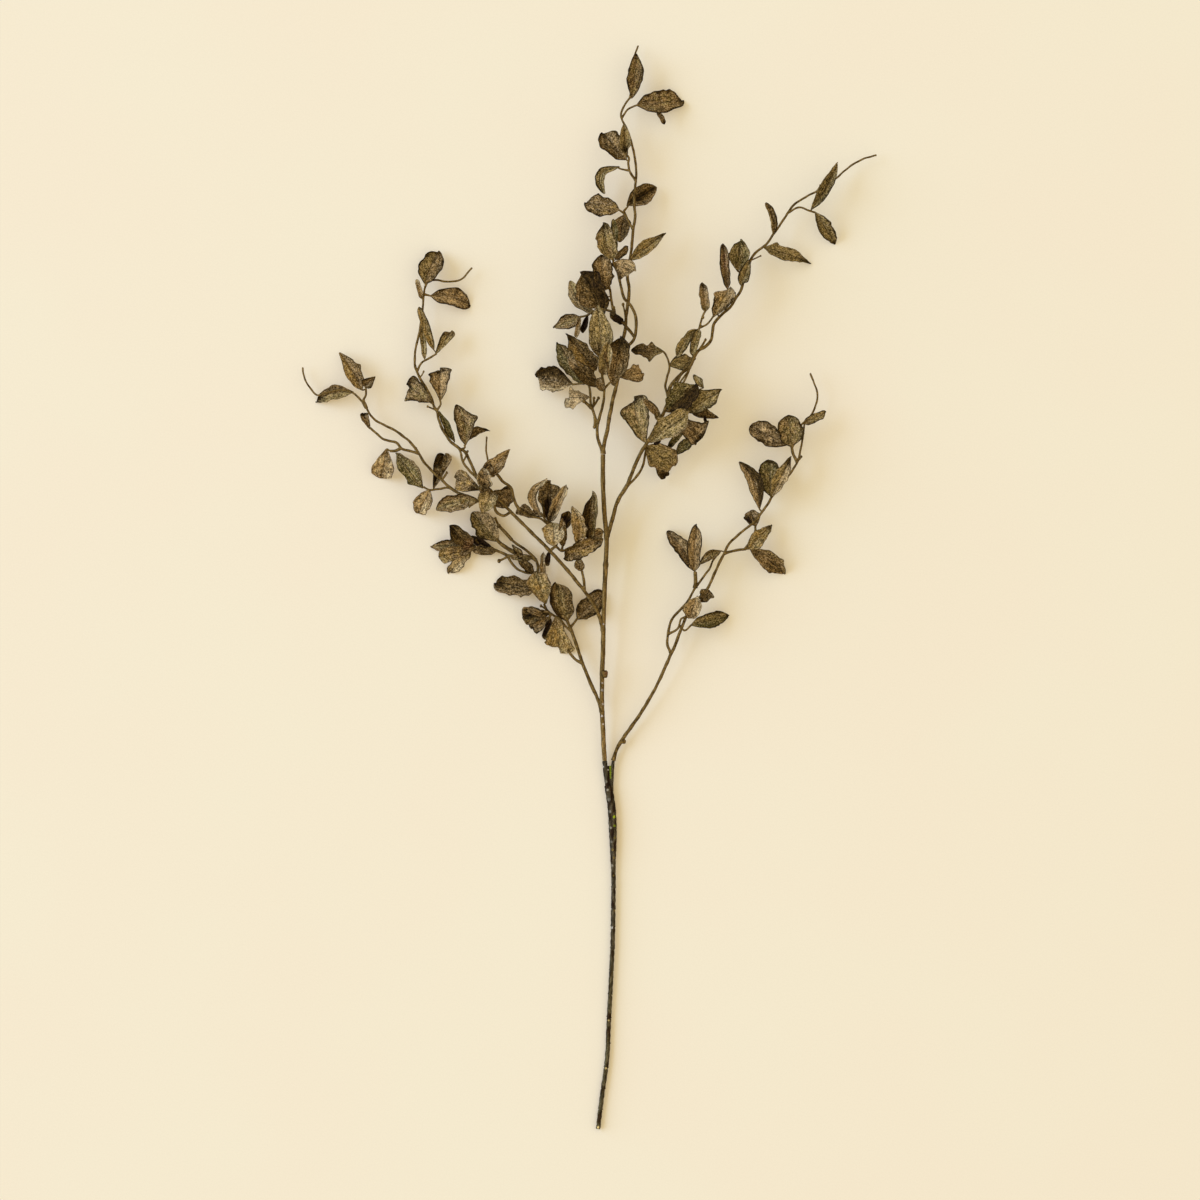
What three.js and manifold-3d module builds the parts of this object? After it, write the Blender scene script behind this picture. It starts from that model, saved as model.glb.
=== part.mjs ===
// A dried eucalyptus stem lying on a table: a dark lower stem that forks, a brown main stem,
// and five leafy sprays.
//
// Millimetres, +Z up. The stem lies along Y with its cut end at -Y, and rests on z = 0.
// Every place below is given as [across, down] or [across, down, height]: millimetres to the
// right and down from the upper left corner of a flat drawing of the stem seen from above,
// and the height over the table. The finished part is moved so that its origin is the middle
// of its underside.

import * as THREE from 'three';
import { mergeVertices } from 'three/addons/utils/BufferGeometryUtils.js';
import Module from 'manifold-3d';

const wasm = await Module();
wasm.setup();

// Driving sizes
const bladeThickness = 0.8;
const stalkWidth = 1.8;
const rimWave = 0.9;
const rimUneven = 0.07;
const mainStemWidth = 4.7;
const mainStemBudSize = 5.4;
const mainStemNodeSize = 6;
const lowerStemWidth = 5.4;
const sleeveWidth = 8.3;
const sleeveHeight = 3.85;
const rightArmWidths = [4.2, 3.4];
const pieceGap = 0.3;

// Past its fork the stem rises more steeply than its rows of heights say: heights over the
// fork's own, and the rises of twigs and leaves, are this many times as large
const forkHeight = 6.3;
const lift = 1.9;

// How finely things are drawn
const longStalkFrom = 2.5;
const wideBladeFrom = 14;
const flatShares = [-1, 0, 1];
const tuckedShares = [-1, -0.5, 0, 0.5, 1];
const sectionPieces = 8;
const twigStep = 16;
const stemStep = 34;
const twigSides = [[2.9, 5], [1.7, 4], [0, 3]];
const stemSides = 8;
const sleeveSides = 12;
const cleanEdge = 0.25;
const mergeEdge = 0.001;

// What is cut away below the table, under the lower stem
const belowTable = { across: 400, along: 600, deep: 5, middle: [600, 950] };

// How the wave and the width of a blade's rim change along it and from leaf to leaf
const rimRates = { wave: 11, uneven: 9, perLeaf: 2.4, waveByHand: 1.3, unevenByHand: 2 };

// Half widths of a blade from its root to its tip, as shares of its widest
const outlines = {
  oval: [0.62, 1, 0.94, 0.6, 0.12],
  egg: [0.86, 1, 0.78, 0.42, 0.1],
  spoon: [0.4, 0.74, 1, 0.9, 0.34],
  fan: [0.36, 0.62, 0.86, 1, 0.8],
  round: [0.7, 0.98, 1, 0.8, 0.34],
  strap: [0.8, 0.95, 1, 0.85, 0.5],
  spindle: [0.6, 1, 0.8, 0.36, 0.1],
};
const wideStations = [0.16, 0.38, 0.62, 0.84, 1];
const narrowStations = [0.3, 0.7, 1];

// One leaf: where its blade begins, where its tip is, and its width as seen from above.
// rise: height of the tip over the root. fold: how far each half stands up from flat, in
// degrees. curl: how much further the margin turns up. tuck: more curl on the right side of
// the growing direction, or on the left where it is negative. arch: bulge of the midrib.
// bend: sideways bow to the right. roll: tilt of the blade, right side up.
function leaf(across, down, tipAcross, tipDown, width, form = {}) {
  const plain = {
    outline: 'oval', rise: 0, fold: 14, curl: 28, tuck: 0, arch: 2, bend: 0, roll: 0,
  };
  return { ...plain, base: [across, down], tip: [tipAcross, tipDown], width, ...form };
}

// One twig: its route, its width at both ends, and how far it rises above what it grows from.
// A route whose points carry heights is a leader and keeps them.
function twig(route, fromWidth, toWidth, rise = 0) {
  return { route, fromWidth, toWidth, rise };
}

const lowerStem = {
  foot: [
    [598, 1130, 2.6], [600, 1100, 2.6], [605, 1060, 2.7], [609, 1020, 2.8], [611, 980, 3],
    [612, 940, 3.2], [613, 900, 3.5], [613.5, 878, 3.7], [613, 850, 3.85], [612.5, 820, 3.85],
  ],
  collar: [[613.5, 880, sleeveHeight], [613.2, 862, sleeveHeight]],
  sleeve: [
    [613.2, 862, sleeveHeight], [613, 835, sleeveHeight], [611.6, 808, sleeveHeight],
    [609.4, 786, sleeveHeight],
  ],
  leftArm: [[612.5, 815, 3.9], [609.4, 792, 4.2], [606.6, 774, 5.3], [604.6, 761, 6.3]],
  rightArm: [[613, 815, 3.9], [612.4, 792, 4], [612.6, 774, 4.6], [613.1, 761, 5.3]],
};

const mainStem = [
  [604.55, 760.6, 6.33], [603, 750, 7.1], [602.8, 730, 8.2], [602, 705, 9.5], [602, 680, 10.6],
  [603, 650, 11.8], [603.5, 620, 13], [605, 580, 14.6], [606, 560, 15.4], [606.5, 537, 16.4],
  [604.5, 515, 17.4], [603, 484, 18.8], [603, 455, 20.1],
];
const mainStemBud = [604.6, 674, 12.5];
const mainStemNode = [606, 565, 15.2];

const centreSpray = {
  twigs: [
    twig([
      [603, 454.5, 20.1], [604, 445, 20.6], [607, 432, 21], [609, 420, 21.5], [612, 405, 22],
      [615, 392, 22], [618, 379, 22], [621, 360, 21.5], [623, 342, 21], [625, 330, 20.5],
      [626, 318, 20], [628, 303, 19.5], [629, 290, 19], [627.5, 278, 18.5], [629, 266, 18],
      [631, 253, 18], [633, 232, 17.5], [635, 218, 17], [634, 205, 16.5], [635, 190, 16],
      [636, 170, 15.5], [633, 150, 14.5], [628, 133, 13.5], [622, 120, 12.5], [621, 115, 12],
      [625, 105, 11.5], [630, 98, 11],
    ], 3.5, 1.4),
    twig([[630, 98], [632, 85], [634, 65], [635, 54], [638, 46]], 1.4, 1.1, -3),
    twig([[622, 118], [628, 110], [634, 107], [637, 106]], 1.5, 1.3, 0),
    twig([[634, 181], [630, 173], [628, 165], [629, 160], [624, 153]], 1.8, 1.4, 2),
    twig([[629, 172], [620, 170], [617, 168]], 1.4, 1.2, 0),
    twig([[633, 230], [629, 224], [626, 217], [624, 212]], 1.8, 1.4, -3),
    twig([[625, 214], [619, 211]], 1.4, 1.2, 1),
    twig([[624, 212], [628, 207]], 1.3, 1.2, -1),
    twig([
      [623, 352], [633, 342], [636, 330], [635, 316], [629, 305], [624, 300], [621, 290],
      [619, 280], [617, 272], [613, 264],
    ], 2, 1.5, 2),
    twig([[613, 265], [611, 258], [607, 252]], 1.2, 1.1, 1),
    twig([[625, 326], [614, 314], [611, 300], [609, 290], [603, 292]], 2.4, 1.5, 1),
    twig([[609, 291], [608, 280], [608, 270], [611, 265]], 1.5, 1.2, 0),
    twig([[613, 314], [606, 311], [600, 310], [592, 313], [588, 316], [580, 318]], 2, 1.4, -3),
    twig([
      [603, 453], [599, 443], [597, 432], [599, 420], [602, 409], [604, 398], [604, 388],
      [602, 376], [602, 366], [602, 356],
    ], 2.6, 1.6, 1),
    twig([[605, 390], [610, 384], [619, 378]], 1.5, 1.3, 3),
    twig([
      [598, 425], [594, 415], [591, 405], [590, 392], [588, 384], [583, 384], [572, 385],
    ], 2.2, 1.4, -5),
    twig([[591, 409], [584, 402]], 2.8, 2.4, 0),
    twig([[588, 385], [592, 376], [595, 368]], 1.5, 1.3, 2),
  ],
  leaves: [
    leaf(632, 98, 636, 54, 15, { rise: 1, fold: 34, roll: -12 }),
    leaf(637, 106, 682, 99, 22, { rise: -13, arch: 3, roll: 8 }),
    leaf(626, 161, 603, 134, 22, { rise: -4, outline: 'round', curl: 45 }),
    leaf(625, 154, 624, 127, 11, { rise: 8, fold: 38 }),
    leaf(619, 168, 604, 194, 12, { rise: -5, bend: 12, outline: 'strap' }),
    leaf(619, 211, 586, 204, 20, { rise: -4, outline: 'fan' }),
    leaf(627, 206, 655, 187, 19, { rise: -7 }),
    leaf(613, 262, 602, 223, 17, { rise: 4, outline: 'spoon' }),
    leaf(615, 256, 614, 219, 9, { rise: -5, outline: 'strap' }),
    leaf(625, 216, 621, 242, 14, { rise: -7 }),
    leaf(629, 262, 665, 234, 13, { rise: -2, fold: 30, outline: 'spindle' }),
    leaf(612, 266, 634, 271, 16, { rise: 3, fold: 40, roll: 15 }),
    leaf(603, 292, 600, 255, 19, { rise: 2, roll: -14 }),
    leaf(602, 309, 588, 266, 17, { rise: -2, roll: 16, outline: 'spoon' }),
    leaf(600, 310, 574, 290, 15, { rise: -11, roll: -10 }),
    leaf(592, 315, 572, 283, 15, { rise: 1, fold: 20, bend: -1.5, outline: 'round' }),
    leaf(580, 318, 554, 328, 14, { rise: -7, outline: 'egg' }),
    leaf(580, 318, 576, 338, 5, { rise: -3, outline: 'strap' }),
    leaf(588, 316, 582, 333, 6, { rise: -6, fold: 40 }),
    leaf(602, 356, 599, 309, 23, { rise: 6, fold: 6, curl: 14, outline: 'round' }),
    leaf(583, 384, 557, 342, 17, { rise: -6, roll: 12 }),
    leaf(595, 368, 566, 333, 17, { rise: 3, fold: 26, outline: 'egg' }),
    leaf(613, 382, 616, 340, 20, { rise: 7, fold: 36, outline: 'spoon' }),
    leaf(603, 376, 606, 352, 11, { rise: 8, fold: 30 }),
    leaf(619, 378, 640, 372, 17, { rise: -5, outline: 'fan' }),
    leaf(572, 384, 537, 377, 25, { rise: -12, tuck: 75, arch: 3 }),
    leaf(589, 399, 571, 398, 18, { rise: -7, outline: 'fan', curl: 40 }),
    leaf(598, 388, 568, 360, 14, { rise: 4, curl: 60 }),
  ],
};

const upperRightSpray = {
  twigs: [
    twig([
      [607, 537, 16.4], [611.5, 523, 17], [615.5, 507, 18], [620.5, 496, 19], [626.5, 487, 20],
      [632, 473, 21], [638, 459, 22], [644, 448, 22], [652, 435, 22.5], [658, 423, 22.5],
      [664, 412, 22.5], [668, 400, 22.5], [669, 390, 22.5], [673, 383, 22], [681, 375, 22],
      [690, 367, 21.5], [694, 358, 21], [698, 352, 21], [706, 347, 20.5], [711, 340, 20],
      [712, 332, 19.5], [713, 326, 19], [717, 320, 19], [722, 315, 18.5], [729, 309, 18.5],
      [735, 300, 18], [741, 290, 18], [743, 280, 17.5], [745, 273, 17], [749, 265, 16.5],
      [751, 259, 16], [758, 251, 15.5], [766, 245, 15], [773, 235, 14.5], [778, 228, 14],
      [784, 219, 13.5], [794, 205, 13], [800, 201, 12.5], [808, 196, 12], [816, 192, 11.5],
      [834, 180, 10.5], [848, 168, 9.5], [857, 162, 9], [865, 158, 8.5], [876, 155, 8],
    ], 3.5, 1.2),
    twig([[627, 487], [636, 478], [642, 468], [645, 455], [646, 447]], 2, 1.8, 0),
    twig([[668, 398], [665, 388], [667, 378], [669, 368], [666, 357], [663, 353]], 1.9, 1.3, 1),
    twig([[664, 412], [676, 413], [689, 411]], 1.5, 1.3, 0),
    twig([[689, 411], [696, 401], [700, 390]], 1.3, 1.2, 0),
    twig([[652, 437], [658, 441], [663, 435], [672, 430], [684, 424]], 1.6, 1.4, -2),
    twig([[684, 424], [690, 432], [692, 438]], 1.3, 1.2, -1),
    twig([
      [693, 360], [694, 345], [697, 335], [700, 325], [702, 318], [705, 312],
    ], 2, 1.4, 0),
    twig([[700, 330], [706, 326], [710, 322], [713, 317]], 1.4, 1.2, 1),
    twig([[735, 300], [731, 295], [727, 290]], 1.5, 1.3, 0),
    twig([[743, 280], [741, 275], [737, 272]], 1.5, 1.3, 0),
    twig([[789, 213], [799, 208], [808, 211], [815, 213]], 1.6, 1.3, -1),
  ],
  leaves: [
    leaf(663, 353, 631, 351, 12, { rise: -5, fold: 24 }),
    leaf(669, 367, 693, 361, 11, { rise: -6, outline: 'egg' }),
    leaf(698, 331, 676, 357, 6, { rise: 5, outline: 'strap', bend: 3 }),
    leaf(698, 330, 690, 355, 5, { rise: 9, outline: 'strap' }),
    leaf(668, 410, 693, 385, 22, { rise: -5, outline: 'egg', curl: 36 }),
    leaf(689, 411, 716, 391, 14, { rise: 1, fold: 24 }),
    leaf(700, 390, 693, 376, 5, { rise: -2 }),
    leaf(689, 412, 718, 419, 8, { rise: -6, outline: 'strap' }),
    leaf(653, 441, 688, 417, 17, { rise: 6, fold: 10, outline: 'spindle' }),
    leaf(684, 424, 699, 441, 18, { rise: 2, curl: 62, outline: 'fan' }),
    leaf(686, 430, 668, 448, 5, { rise: -6, outline: 'strap' }),
    leaf(692, 438, 674, 454, 7, { rise: -8, outline: 'strap' }),
    leaf(647, 447, 672, 464, 22, { rise: -9, outline: 'round' }),
    leaf(648, 449, 660, 477, 13, { rise: -14, outline: 'spoon' }),
    leaf(644, 443, 630, 402, 22, { rise: -2, outline: 'spoon', curl: 36 }),
    leaf(657, 421, 642, 399, 10, { rise: 5, bend: -4, outline: 'strap' }),
    leaf(737, 272, 740, 241, 19, { rise: -4, fold: 20 }),
    leaf(740, 286, 749, 262, 9, { rise: 7, fold: 30 }),
    leaf(727, 290, 722, 246, 9, { rise: 3, fold: 34 }),
    leaf(713, 318, 727, 292, 19, { rise: 6, outline: 'round' }),
    leaf(705, 313, 702, 285, 8, { rise: 3, fold: 34, outline: 'spindle' }),
    leaf(773, 236, 765, 204, 7, { rise: 4, bend: 4, outline: 'strap' }),
    leaf(766, 246, 811, 262, 15, { rise: -15, fold: 30, bend: -2, outline: 'egg' }),
    leaf(811, 210, 837, 164, 11, { rise: 2, fold: 30, curl: 60, bend: 2 }),
    leaf(815, 213, 836, 243, 14, { rise: -14, fold: 20 }),
  ],
};

const lowerRightSpray = {
  twigs: [
    twig([
      [613.12, 760.6, 5.32], [616.6, 750, 6], [623.5, 738, 6.6], [639.6, 715, 8], [655, 689, 9.5],
      [665.6, 666, 11], [671, 653.5, 11.5], [674.5, 646, 12], [679.5, 633, 12.5],
      [684.6, 620, 13], [690, 609, 13.5], [699, 598, 14], [707.6, 588, 14], [714, 574, 14.5],
      [723, 555, 15], [728, 545, 15], [738, 535, 15], [748, 527, 15], [755, 521, 15],
      [761, 513, 15], [767.6, 504, 15], [771.4, 497, 14.5], [780.6, 485.5, 14.5],
      [791, 472, 14], [797.5, 461, 13.5], [801, 446, 13], [803, 433, 12.5], [805, 422, 12],
      [811, 415, 11.5], [816, 404, 11], [817.4, 394, 10.5], [814, 383, 10], [810.5, 374, 9.5],
    ], 3.1, 1.2),
    twig([
      [671, 654], [667.4, 644.5], [668, 633], [672, 619], [681, 609], [688.5, 600], [695, 588],
      [702.5, 578], [709.5, 568], [713, 560], [718, 554],
    ], 2.3, 1.4, 3),
    twig([[723, 554], [733, 551], [746, 549]], 2.2, 1.8, -1),
    twig([[745, 549], [751, 540], [755, 531], [755, 525]], 1.8, 1.6, -4),
    twig([[695, 588], [695.4, 580], [695, 572]], 3.4, 3, -2),
    twig([[797, 462], [793, 455], [791, 447]], 2.6, 2, 1),
    twig([[791, 448], [795, 442], [797, 433], [801, 425], [807, 420]], 1.5, 1.2, 1),
    twig([[668, 635], [678, 628], [681, 619], [685, 617]], 1.6, 1.4, 2),
    twig([[679, 626], [684.6, 630.5], [691, 625]], 1.5, 1.4, 1),
  ],
  buds: [[623.6, 741.5, 4.4]],
  leaves: [
    leaf(787, 445, 750, 426, 20, { rise: -6, arch: 3, outline: 'round' }),
    leaf(792, 446, 787, 415, 24, { rise: 5, outline: 'round', curl: 40 }),
    leaf(803, 424, 825, 413, 9, { rise: -2, outline: 'strap' }),
    leaf(759, 509, 739, 462, 14, { rise: -4, tuck: 70, fold: 18, bend: 6 }),
    leaf(770, 496, 770, 460, 20, { rise: -4, fold: 12 }),
    leaf(771, 496, 790, 458, 12, { rise: 8, fold: 24 }),
    leaf(755, 525, 750, 510, 13, { rise: -3, outline: 'fan', curl: 40 }),
    leaf(748, 549, 771, 525, 15, { rise: -5, outline: 'egg', fold: 18 }),
    leaf(749, 549, 783, 573, 18, { rise: -15, outline: 'round', roll: -8, bend: -3 }),
    leaf(694.5, 571, 667, 531, 16, { rise: -7, fold: 26, bend: 3 }),
    leaf(694.5, 571, 696.5, 526, 13, { rise: 6, fold: 28, bend: -1.5 }),
    leaf(721, 551, 699, 564, 9, { rise: 2, bend: 2 }),
    leaf(701, 602, 709, 591, 14, { rise: 2, outline: 'fan' }),
    leaf(689, 618, 696, 597, 16, { rise: 5, outline: 'round', curl: 50 }),
    leaf(691, 625, 729, 616, 15, { rise: -13, arch: 2.5, roll: 10 }),
  ],
};

const leftSpray = {
  twigs: [
    twig([
      [603, 630, 12.6], [600.5, 620, 13.4], [596, 609, 14.2], [586.7, 594, 15], [568, 571, 16.5],
      [550, 551, 17.5], [527, 528, 18], [507, 508, 18], [490, 490, 17.5], [482, 484, 17],
      [476, 475, 17], [471, 463, 16.5], [465, 452, 16], [460, 449, 15.5], [451, 442, 15],
      [446, 435, 14.5], [442, 428, 14.5], [439, 420, 14], [437, 411, 14], [434, 406, 13.5],
      [432, 399, 13.5], [425, 386, 13], [420, 378, 12.5], [416, 368, 12.5], [415, 360, 12],
      [416, 348, 12], [419, 335, 11.5], [422, 315, 11], [424, 296, 10.5], [425, 288, 10.5],
      [428, 282, 10], [436, 280, 9.5], [445, 281.5, 9], [458, 280.5, 8.5], [463, 278, 8.5],
      [467, 273.5, 8], [471.5, 268, 7.5],
    ], 3.3, 1.3),
    twig([[478, 479], [467, 468], [463, 461], [461, 453], [459, 448]], 2, 1.6, -1),
    twig([[418, 371], [422, 363], [427, 360], [437, 354]], 1.5, 1.3, 0),
    twig([[424, 294], [431, 296]], 1.5, 1.3, 0),
    twig([[434, 403], [430, 402]], 1.6, 1.4, 0),
    twig([[437, 411], [441, 404], [440, 399]], 1.4, 1.3, 1),
    twig([[461, 449.5], [465, 448], [465, 445]], 1.4, 1.3, 0),
    twig([[484, 485], [487, 474], [488, 461], [486.5, 450], [487, 438]], 1.5, 1.1, 1),
    twig([
      [487, 475], [496, 474], [503, 482], [511, 488], [518, 506], [521, 512],
    ], 2, 1.8, 1),
    twig([[493, 500], [496, 511], [504, 516], [511, 512]], 1.8, 1.6, 0),
    twig([
      [550, 551], [556, 547], [562, 551], [570, 548], [580, 545], [590, 541], [598, 540],
    ], 2, 1.5, -2),
    twig([[556, 547], [557, 542], [552, 534], [548, 524]], 1.7, 1.5, -1),
    twig([[548, 524], [541, 519], [530, 516], [522, 512]], 1.6, 1.4, 0),
    twig([[548, 524], [541, 513]], 1.5, 1.4, 2),
    twig([[548, 524], [549, 518]], 1.6, 1.5, 1),
    twig([[562, 551], [563, 540], [562, 528]], 1.5, 1.4, -2),
    twig([[585, 591], [584, 581], [582, 571]], 2.2, 2, 1),
    twig([
      [496, 497, 17.5], [488, 501, 16.5], [478, 501, 15.5], [466, 496, 14.5], [455, 491, 14],
      [448, 486, 13.5], [442, 480, 13], [436, 475, 13], [430, 469, 12.5], [424, 462, 12.5],
      [420, 455, 12], [416, 449, 12], [410, 442, 11.5], [404, 437, 11.5], [396, 431, 11],
      [388, 427, 11], [378, 422, 10.5], [373, 418, 10.5], [369, 413, 10], [366, 407, 10],
      [358, 397, 10], [350, 391.5, 9.5], [338, 390, 9], [326, 393, 9], [317, 395, 8.5],
      [311, 389, 8], [306, 382, 8], [303, 373, 7.5], [302.5, 368, 7.5],
    ], 2.6, 1.2),
    twig([
      [418, 454], [410, 451], [402, 449], [397, 443], [390, 441], [383, 439], [376, 433],
      [370, 428],
    ], 1.7, 1.3, -1),
    twig([[401, 449], [396, 451], [390, 451]], 1.4, 1.3, -1),
    twig([[455, 491], [449, 488], [440, 489], [430, 490], [424, 487]], 1.8, 1.4, -1),
    twig([[366, 408], [363, 402], [366, 395], [366, 388]], 2.4, 1.3, 1),
  ],
  leaves: [
    leaf(427, 283, 438, 251, 22, { rise: -4, outline: 'round', curl: 34 }),
    leaf(422, 299, 417, 280, 5, { rise: 2, outline: 'strap' }),
    leaf(431, 295, 470, 304.5, 18, { rise: -11, outline: 'egg', bend: -3 }),
    leaf(434, 354, 420.5, 308, 11, { rise: 4, fold: 24, curl: 60, outline: 'strap' }),
    leaf(424, 360, 422, 325, 6, { rise: -4, outline: 'strap' }),
    leaf(436, 354, 451.5, 331, 10, { rise: -2, fold: 30, curl: 50, bend: -2, outline: 'strap' }),
    leaf(430, 401, 409, 386, 23, { rise: -6, outline: 'fan', curl: 20 }),
    leaf(441, 399, 439, 370, 20, { rise: -2, outline: 'fan', curl: 34 }),
    leaf(455, 442, 440, 412, 7, { rise: 5, fold: 30 }),
    leaf(465, 445, 458, 406, 22, { rise: -3, outline: 'egg', roll: 10 }),
    leaf(466, 432, 490, 430, 13, { rise: -10, fold: 20, bend: -5, outline: 'spindle' }),
    leaf(488, 472, 509, 452, 13, { rise: 1, fold: 22, curl: 44, outline: 'strap' }),
    leaf(487, 487, 483, 470, 12, { rise: 4, curl: 60, outline: 'round' }),
    leaf(481, 489, 456, 478, 20, { rise: -4, outline: 'fan', fold: 6, curl: 10, bend: -1.5 }),
    leaf(489, 500, 512, 488, 20, { rise: -4, outline: 'round', curl: 36 }),
    leaf(480, 501, 435.5, 506.5, 17, { rise: -6, tuck: 50, arch: 3, bend: 1 }),
    leaf(493, 493, 483, 511, 14, { rise: 5, curl: 56, outline: 'round' }),
    leaf(353, 392, 315.5, 401, 14, { rise: -9.5, bend: 4 }),
    leaf(362, 389, 341, 353, 17, { rise: -5, roll: -12, bend: 2 }),
    leaf(366, 388, 373, 375, 11, { rise: 2, fold: 30, outline: 'round' }),
    leaf(370, 428, 363, 415, 7, { rise: -1, fold: 30, curl: 50, outline: 'strap' }),
    leaf(388, 450, 381, 477, 21, { rise: -7, outline: 'round' }),
    leaf(423, 488, 396, 455, 17, { rise: -6, fold: 10 }),
    leaf(434, 488, 443, 456, 14, { rise: -5, fold: 20, curl: 56, outline: 'strap' }),
    leaf(429, 490, 418, 512, 17, { rise: -9, outline: 'round' }),
    leaf(541, 514, 543, 482, 9, { rise: 7, bend: -11.5, outline: 'strap' }),
    leaf(548, 520, 552, 484, 24, { rise: -4, outline: 'fan', curl: 24 }),
    leaf(549, 519, 548, 496, 11, { rise: 5, fold: 30, outline: 'round' }),
    leaf(550, 521, 565, 487, 12, { rise: 11, fold: 34, outline: 'strap' }),
    leaf(538, 518, 519, 508, 13, { rise: -3, outline: 'fan' }),
    leaf(549, 524, 553, 546, 21, { rise: 6, outline: 'round' }),
    leaf(562, 529, 568, 512, 11, { rise: 3, outline: 'fan' }),
    leaf(563, 547, 563, 522, 6, { rise: 8, outline: 'strap' }),
    leaf(577, 545, 572, 507, 14, { rise: 7, bend: 5, fold: 26 }),
    leaf(589, 540, 592, 495.5, 14, { rise: 4, fold: 30, bend: -1, outline: 'egg' }),
    leaf(600, 540, 565, 557, 15, { rise: -2, curl: 60, outline: 'strap' }),
    leaf(582, 571, 577, 560, 9, { rise: 0, curl: 60, outline: 'round' }),
    leaf(549, 552, 547, 566, 5, { rise: -2, outline: 'strap' }),
  ],
};

const lowerLeftSpray = {
  twigs: [
    twig([
      [602, 712, 9.2], [598.5, 701, 9.3], [590.6, 683, 9.4], [583, 664.5, 9.2], [575, 641, 9],
      [573, 635, 9], [570, 627.5, 9], [566, 618, 9], [560, 607, 9], [553, 598, 8.5],
      [547, 590, 8.5], [541, 580, 8.5], [537.8, 572, 8], [538, 566, 8], [536, 560, 8],
      [527, 551, 8], [513, 541, 7.5], [507, 535, 7.5], [499, 526, 7], [495, 517, 7],
    ], 3.1, 1.8),
    twig([[582, 663], [576, 660], [571, 655], [567.6, 649]], 2.4, 2, 0),
    twig([
      [571, 631], [566, 627], [560, 619], [553, 615], [547, 610], [544, 604],
    ], 1.8, 1.5, 1),
    twig([[570, 627.5], [574, 623], [577, 619]], 1.9, 1.7, -2),
    twig([
      [536, 560], [527, 556], [515, 556], [507, 555], [500, 552], [490, 548], [480, 547],
      [474, 546],
    ], 2.5, 1.7, -3),
    twig([[507, 556], [514, 566], [521, 571], [529, 573], [537, 572]], 2, 1.8, 0),
    twig([[509, 556], [499, 561]], 1.7, 1.6, 0),
    twig([[521, 556], [510, 550], [500, 543], [496, 539]], 2.4, 1.6, 0),
    twig([[549, 615], [549, 619]], 1.8, 1.8, 0),
  ],
  buds: [[499, 561, 3.4]],
  leaves: [
    leaf(496, 541, 467, 514, 20, { rise: -3, tuck: -70, outline: 'oval' }),
    leaf(472, 545, 450, 528, 13, { rise: 7, fold: 30, curl: 50, bend: -2, outline: 'strap' }),
    leaf(474, 545, 431, 546, 14, { rise: -4, roll: 14 }),
    leaf(475, 548, 439, 557, 15, { rise: 4, outline: 'fan' }),
    leaf(470, 549, 449, 571, 13, { rise: -5, outline: 'strap' }),
    leaf(492, 548, 467, 536, 8, { rise: -4, fold: 30 }),
    leaf(534, 573, 518, 558, 9, { rise: 3, fold: 24 }),
    leaf(543, 583, 543, 553, 6, { rise: 2, outline: 'strap', fold: 24 }),
    leaf(537, 588, 495, 583, 19, { rise: -5, roll: 10, outline: 'strap' }),
    leaf(545, 603, 534, 573, 21, { rise: 4, outline: 'round', curl: 20 }),
    leaf(567, 621, 556, 583, 20, { rise: 2, outline: 'egg', roll: -10 }),
    leaf(577, 619, 603, 593, 20, { rise: -2, fold: 8, curl: 10, outline: 'round' }),
    leaf(549, 613, 524, 616, 14, { rise: -1, tuck: 60, outline: 'fan' }),
    leaf(550, 617, 533, 628, 12, { rise: -4, outline: 'fan' }),
    leaf(556, 617, 560, 648.5, 25, { rise: -6, outline: 'fan', curl: 16 }),
    leaf(551, 619, 544, 639, 7, { rise: -8, outline: 'strap' }),
  ],
};

const looks = {
  lower_stem: { color: 0x2e2b28, roughness: 0.8 },
  main_stem: { color: 0x59452f, roughness: 0.75 },
  centre_spray: { color: 0x6a5a3a, roughness: 0.8 },
  upper_right_spray: { color: 0x6e5c40, roughness: 0.8 },
  lower_right_spray: { color: 0x66583c, roughness: 0.8 },
  left_spray: { color: 0x6d5a3d, roughness: 0.8 },
  lower_left_spray: { color: 0x71603f, roughness: 0.8 },
};

function radians(degrees) {
  return THREE.MathUtils.degToRad(degrees);
}

function onTable([across, down, height]) {
  return new THREE.Vector3(across, -down, height);
}

// A place past the fork, at the height that the stem's lift gives it
function lifted([across, down, height]) {
  const over = Math.max(0, height - forkHeight);
  return onTable([across, down, height + (lift - 1) * over]);
}

function solidOf(geometry) {
  geometry.deleteAttribute('normal');
  geometry.deleteAttribute('uv');
  const merged = mergeVertices(geometry, mergeEdge);
  return new wasm.Manifold(new wasm.Mesh({
    numProp: 3,
    vertProperties: new Float32Array(merged.attributes.position.array),
    triVerts: new Uint32Array(merged.index.array),
  }));
}

function rodSteps(curve, step) {
  return Math.max(1, Math.round(curve.getLength() / step));
}

// Places about a millimetre apart on the straight stretches between a rod's rings
function seatsAlong(centres) {
  const seats = [centres[0]];
  for (let ring = 1; ring < centres.length; ring += 1) {
    const count = Math.ceil(centres[ring].distanceTo(centres[ring - 1]));
    for (let part = 1; part <= count; part += 1) {
      seats.push(centres[ring - 1].clone().lerp(centres[ring], part / count));
    }
  }
  return seats;
}

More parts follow.
